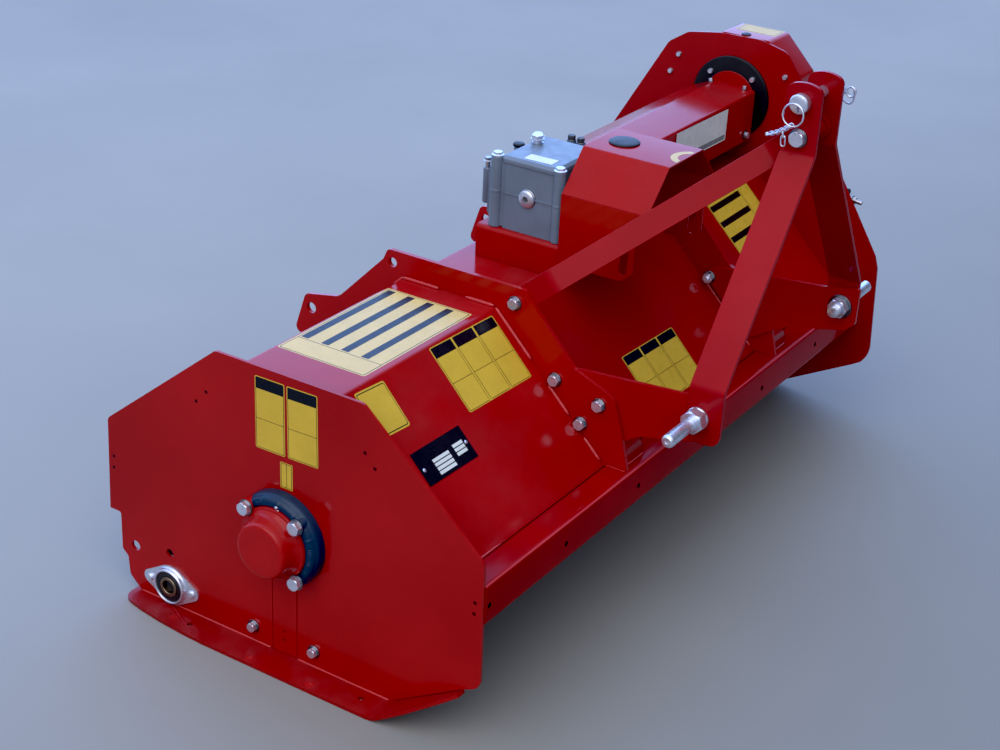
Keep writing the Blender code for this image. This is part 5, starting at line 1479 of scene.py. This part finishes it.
# =============================================================================
# weld beads, plug welds, small marks
# =============================================================================
# rib welds in the brighter seam red, a painted highlight along the beads
for side, f in (("right", lambda x: x), ("left", mir)):
    for tag, x in (("outer", 423.9), ("inner", 438.2)):
        zt = 499.0
        pts = (
            ((132.0, 481.0), (113.5, zt)), ((113.5, zt), (40.0, zt)), ((-14.0, zt), (-71.0, zt)), ((-74.5, 496.6), (-148.0, 424.0)), ((-184.0, 388.4), (-226.0, 346.9)),
            ((-258.0, 315.3), (-290.0, 283.7)),
        )
        for i, (a, b) in enumerate(pts):
            if tag == "inner" and i in (0, 3):
                continue
            weld(f"rib_weld_{side}_{tag}_{i + 1}", (f(x), a[0], a[1]), (f(x), b[0], b[1]), 3.5, RED_SEAM_HIGHLIGHT, step=3.2, seed=i + x)
    weld(f"beam_weld_{side}", (f(424.9), -300.0, 278.0), (f(424.9), -338.0, 278.0), 2.4, RED, seed=9)
# painted highlight: the hood-to-beam seam is in the brighter seam red only near the plain end
weld("hood_beam_weld_1", (8.0, -297.2, 277.0), (118.0, -297.2, 277.0), 2.4, RED_SEAM_HIGHLIGHT, step=3.6, seed=3)
weld("hood_beam_weld_2", (118.0, -297.2, 276.6), (1366.0, -297.2, 276.6), 1.9, RED_BEAM, step=3.6, seed=3)

# painted shade: near-black red for discs that stand for shaded hollows
DIMPLE_SHADE = red_paint("red_dimple_shade", (0.05, 0.002, 0.003), 0.1)
# painted shade: near-black for discs that stand for the insides of drilled holes
HOLE_SHADE = polymer("hole_painted_shade", (0.004, 0.003, 0.003), (0.6, 0.8), 300.0, 0.2, 0.1)
# painted shade: dark discs stand for the shaded hollows of the tab slots
for i, (y, z) in enumerate(((201.2, 406.4), (180.0, 428.8), (385.5, 245.7), (386.8, 224.5), (-127.6, 425.8), (-146.3, 405.4), (-331.2, 245.6), (-330.4, 226.1))):
    lathe(f"tab_dimple_{i + 1}", [(0, 0.10), (1.5, 0.11), (2.2, 0.3), (2.9, 0.22), (3.2, 0.02)], (0, y, z), (-1, 0, 0), DIMPLE_SHADE, slot=RP, steps=20)
for i, (y, z) in enumerate(((90.5, 32.8), (-33.3, 34.3))):
    bolt(f"slot_bar_bolt_{i + 1}", (0, y, z), (-1, 0, 0), 15.0, 7.5, 11.6, 2.0, spin=0.3 + i)
# gussets behind the ribs, on the beam
for i, x in enumerate((443.6, 992.3)):
    plate(f"beam_gusset_{i + 1}", "Y", rounded([(x, 277.3), (x + 60, 277.3), (x + 60, 290), (x + 44, 309), (x, 309)], {2: 4, 3: 6}, 5), -328, -322, RED, bevel=0.8, segs=3, slot=RP)
    # gusset weld in the brighter seam red, a painted highlight
    weld(f"gusset_weld_{i + 1}", (x + 2, -329.0, 278.2), (x + 58, -329.0, 278.2), 2.4, RED_SEAM_HIGHLIGHT, seed=i + 4)
# dark discs on the beam's face stand for its drilled holes, painted shade in place of their insides
for i, (x, z) in enumerate(((15.0, 240.0), (231.0, 240.0), (460.0, 240.0), (925.4, 236.6), (1159.7, 239.3), (690.0, 240.0))):
    lathe(f"beam_hole_{i + 1}", [(0, 0.06), (4.2, 0.08), (4.5, 0.16), (4.8, 0.02)], (x, -347.0, z), (0, -1, 0), HOLE_SHADE, slot=RP, steps=24)
# foot weld and plug welds on the plain end's skid; the foot weld is in the brighter seam red, a painted highlight
weld("skid_weld_a", (-1.6, 334.0, 7.0), (-1.6, 53.0, 7.0), 2.1, RED_SEAM_HIGHLIGHT, step=3.0, seed=6)
weld("skid_weld_b", (-1.6, -1.0, 7.0), (-1.6, -182.0, 7.0), 2.1, RED_SEAM_HIGHLIGHT, step=3.0, seed=7)
weld("skid_seam", (-8.7, 257.3, 6.3), (-49.1, 180.3, 6.3), 1.1, RED, seed=12)
for i, (x, y) in enumerate(((-43.8, 62.1), (-40.9, -57.9), (-29.0, 236.0))):
    lathe(f"skid_plug_weld_{i + 1}", [(0, 0.7), (3.5, 0.62), (6.2, 0.3), (8.2, 0.04), (8.2, -0.3)], (x, y, 6.0), (0, 0, 1), RED, slot=RP, steps=28)

# =============================================================================
# roller: welded tube with end discs, on turned stubs
# =============================================================================
R0, R1 = 47.0, 1326.0
bm = bmesh.new()
tubep = [(36.5, R0 + 0.2), (42.2, R0 + 0.2), (42.5, R0 + 0.6)]
for k in range(1, 24):
    x = R0 + (R1 - R0) * k / 24
    tubep.append((42.5 - (0.10 if k % 2 else 0.0), x))
tubep += [(42.5, R1 - 0.6), (42.2, R1 - 0.2), (36.5, R1 - 0.2), (36.5, R0 + 0.2)]
join_into(bm, lathe_mesh("t", tubep, (0, *ROLLER), (1, 0, 0), 72))
join_into(bm, lathe_mesh("a", [(13.4, R0 + 5.0), (36.6, R0 + 5.0), (36.6, R0 + 11.0), (13.4, R0 + 11.0), (13.4, R0 + 5.0)], (0, *ROLLER), (1, 0, 0), 72))
join_into(bm, lathe_mesh("b", [(13.4, R1 - 11.0), (36.6, R1 - 11.0), (36.6, R1 - 5.0), (13.4, R1 - 5.0), (13.4, R1 - 11.0)], (0, *ROLLER), (1, 0, 0), 72))
for x in (R0 + 4.2, R1 - 4.2):
    ringw = []
    for k in range(72):
        a = 2 * math.pi * k / 72
        r = 35.4 + 0.5 * math.sin(k * 2.4)
        ringw.append((x, ROLLER[0] + r * math.cos(a), ROLLER[1] + r * math.sin(a)))
    join_into(bm, tube_mesh("w", ringw, 1.9, 8, closed=True))
mesh = bpy.data.meshes.new("roller_drum")
bm.to_mesh(mesh)
bm.free()
mesh = drilled(mesh, [((R0 - 6.0, ROLLER[0], ROLLER[1] + 26.0), (1, 0, 0), 24, 4.0)])
finish_obj("roller_drum", mesh, RED_ROTOR, "roller", slot=RP, node="roller", angle=35)
for side, a, b in (("right", -2.4, R0 + 14.0), ("left", 1376.4, R1 - 14.0)):
    d = 1 if b > a else -1
    lathe(f"{side}_roller_stub", [(0, 2.2), (3.0, 0.6), (3.4, 0), (10.2, 0), (11.2, 1.0), (11.2, abs(b - a) - 14.0), (13.0, abs(b - a) - 13.0), (13.0, abs(b - a)), (0, abs(b - a))],
          (a, *ROLLER), (d, 0, 0), FORGED, "roller", slot="machined_steel", steps=48)

# =============================================================================
# nodes of the solids that stay, with finer finishes
# =============================================================================
KEEP = {
    "rotor": RED_ROTOR, "drive_belt": RUBBER, "upper_pulley": PULLEY, "lower_pulley": PULLEY, "tension_pulley": PULLEY,
    "tensioner_arm": ZINC_DARK, "input_shaft": MACHINED, "input_bevel_gear": MACHINED, "cross_shaft": MACHINED, "output_pinion": MACHINED,
    "left_bearing_housing": FORGED,
}
for k in range(10):
    KEEP[f"hammer_{k + 1:02d}"] = FORGED
for name, mat in KEEP.items():
    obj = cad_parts[name]
    obj.data.materials.clear()
    obj.data.materials.append(mat)

# =============================================================================
# floor and light
# =============================================================================
floor_mesh = bpy.data.meshes.new("studio_floor")
bm = bmesh.new()
bmesh.ops.create_grid(bm, x_segments=1, y_segments=1, size=14.0)
bm.to_mesh(floor_mesh)
bm.free()
floor = bpy.data.objects.new("studio_floor", floor_mesh)
bpy.context.scene.collection.objects.link(floor)
floor.location = (0, 0, -0.0005)
fl = Nodes("pale_floor", (0.45, 0.5, 0.58), 0.6)
tone = fl.mix(fl.range(fl.noise(1.2, 5), 0.3, 0.7, 0, 1), (0.325, 0.315, 0.285), (0.365, 0.352, 0.32))
fx, fy, fz = fl.split()
# painted shade: the floor darkens towards -x and -y
floor_shade_ramp = fl.range(fl.math("ADD", fl.math("MULTIPLY", fx, 0.35), fl.math("MULTIPLY", fy, 0.9)), -1.3, 1.6, 1.0, 0.0)
fl.color(fl.mix(floor_shade_ramp, tone, (0.205, 0.200, 0.186)))
fl.rough(0.75)
floor_mesh.materials.append(fl.mat)

world = bpy.data.worlds.new("studio_world")
bpy.context.scene.world = world
world.use_nodes = True
wt = world.node_tree
bg = wt.nodes["Background"]
tc = wt.nodes.new("ShaderNodeTexCoord")


def sky_lobe(direction, lo_, hi_, dim, bright, below):
    """Colour that rises smoothly towards a direction, mixed over what is below."""
    dot = wt.nodes.new("ShaderNodeVectorMath")
    dot.operation = "DOT_PRODUCT"
    wt.links.new(tc.outputs["Generated"], dot.inputs[0])
    dot.inputs[1].default_value = Vector(direction).normalized()
    rng = wt.nodes.new("ShaderNodeMapRange")
    rng.interpolation_type = "SMOOTHSTEP"
    wt.links.new(dot.outputs["Value"], rng.inputs["Value"])
    rng.inputs["From Min"].default_value = lo_
    rng.inputs["From Max"].default_value = hi_
    mix = wt.nodes.new("ShaderNodeMix")
    mix.data_type = "RGBA"
    wt.links.new(rng.outputs["Result"], mix.inputs[0])
    if isinstance(dim, tuple):
        mix.inputs[6].default_value = (*dim, 1)
    else:
        wt.links.new(dim, mix.inputs[6])
    mix.inputs[7].default_value = (*bright, 1)
    return mix.outputs[2]


sky = sky_lobe((-0.45, -0.1, 0.88), 0.12, 0.95, (0.085, 0.094, 0.122), (1.01, 1.12, 1.40), None)
sky = sky_lobe((0.62, 0.66, 0.42), 0.48, 0.92, sky, (1.02, 1.74, 3.6), None)
wt.links.new(sky, bg.inputs[0])
bg.inputs[1].default_value = 1.0


def area(name, loc, target, size, energy, color=(1, 1, 1)):
    data = bpy.data.lights.new(name, "AREA")
    data.shape = "RECTANGLE"
    data.size, data.size_y = size
    data.energy = energy
    data.color = color
    obj = bpy.data.objects.new(name, data)
    bpy.context.scene.collection.objects.link(obj)
    obj.location = loc
    obj.rotation_euler = (Vector(target) - Vector(loc)).to_track_quat("-Z", "Y").to_euler()
    return obj


area("key_soft", (-3.2, -0.8, 3.6), (-0.3, 0, 0.3), (4.6, 4.6), 95, (1.0, 0.99, 0.98))
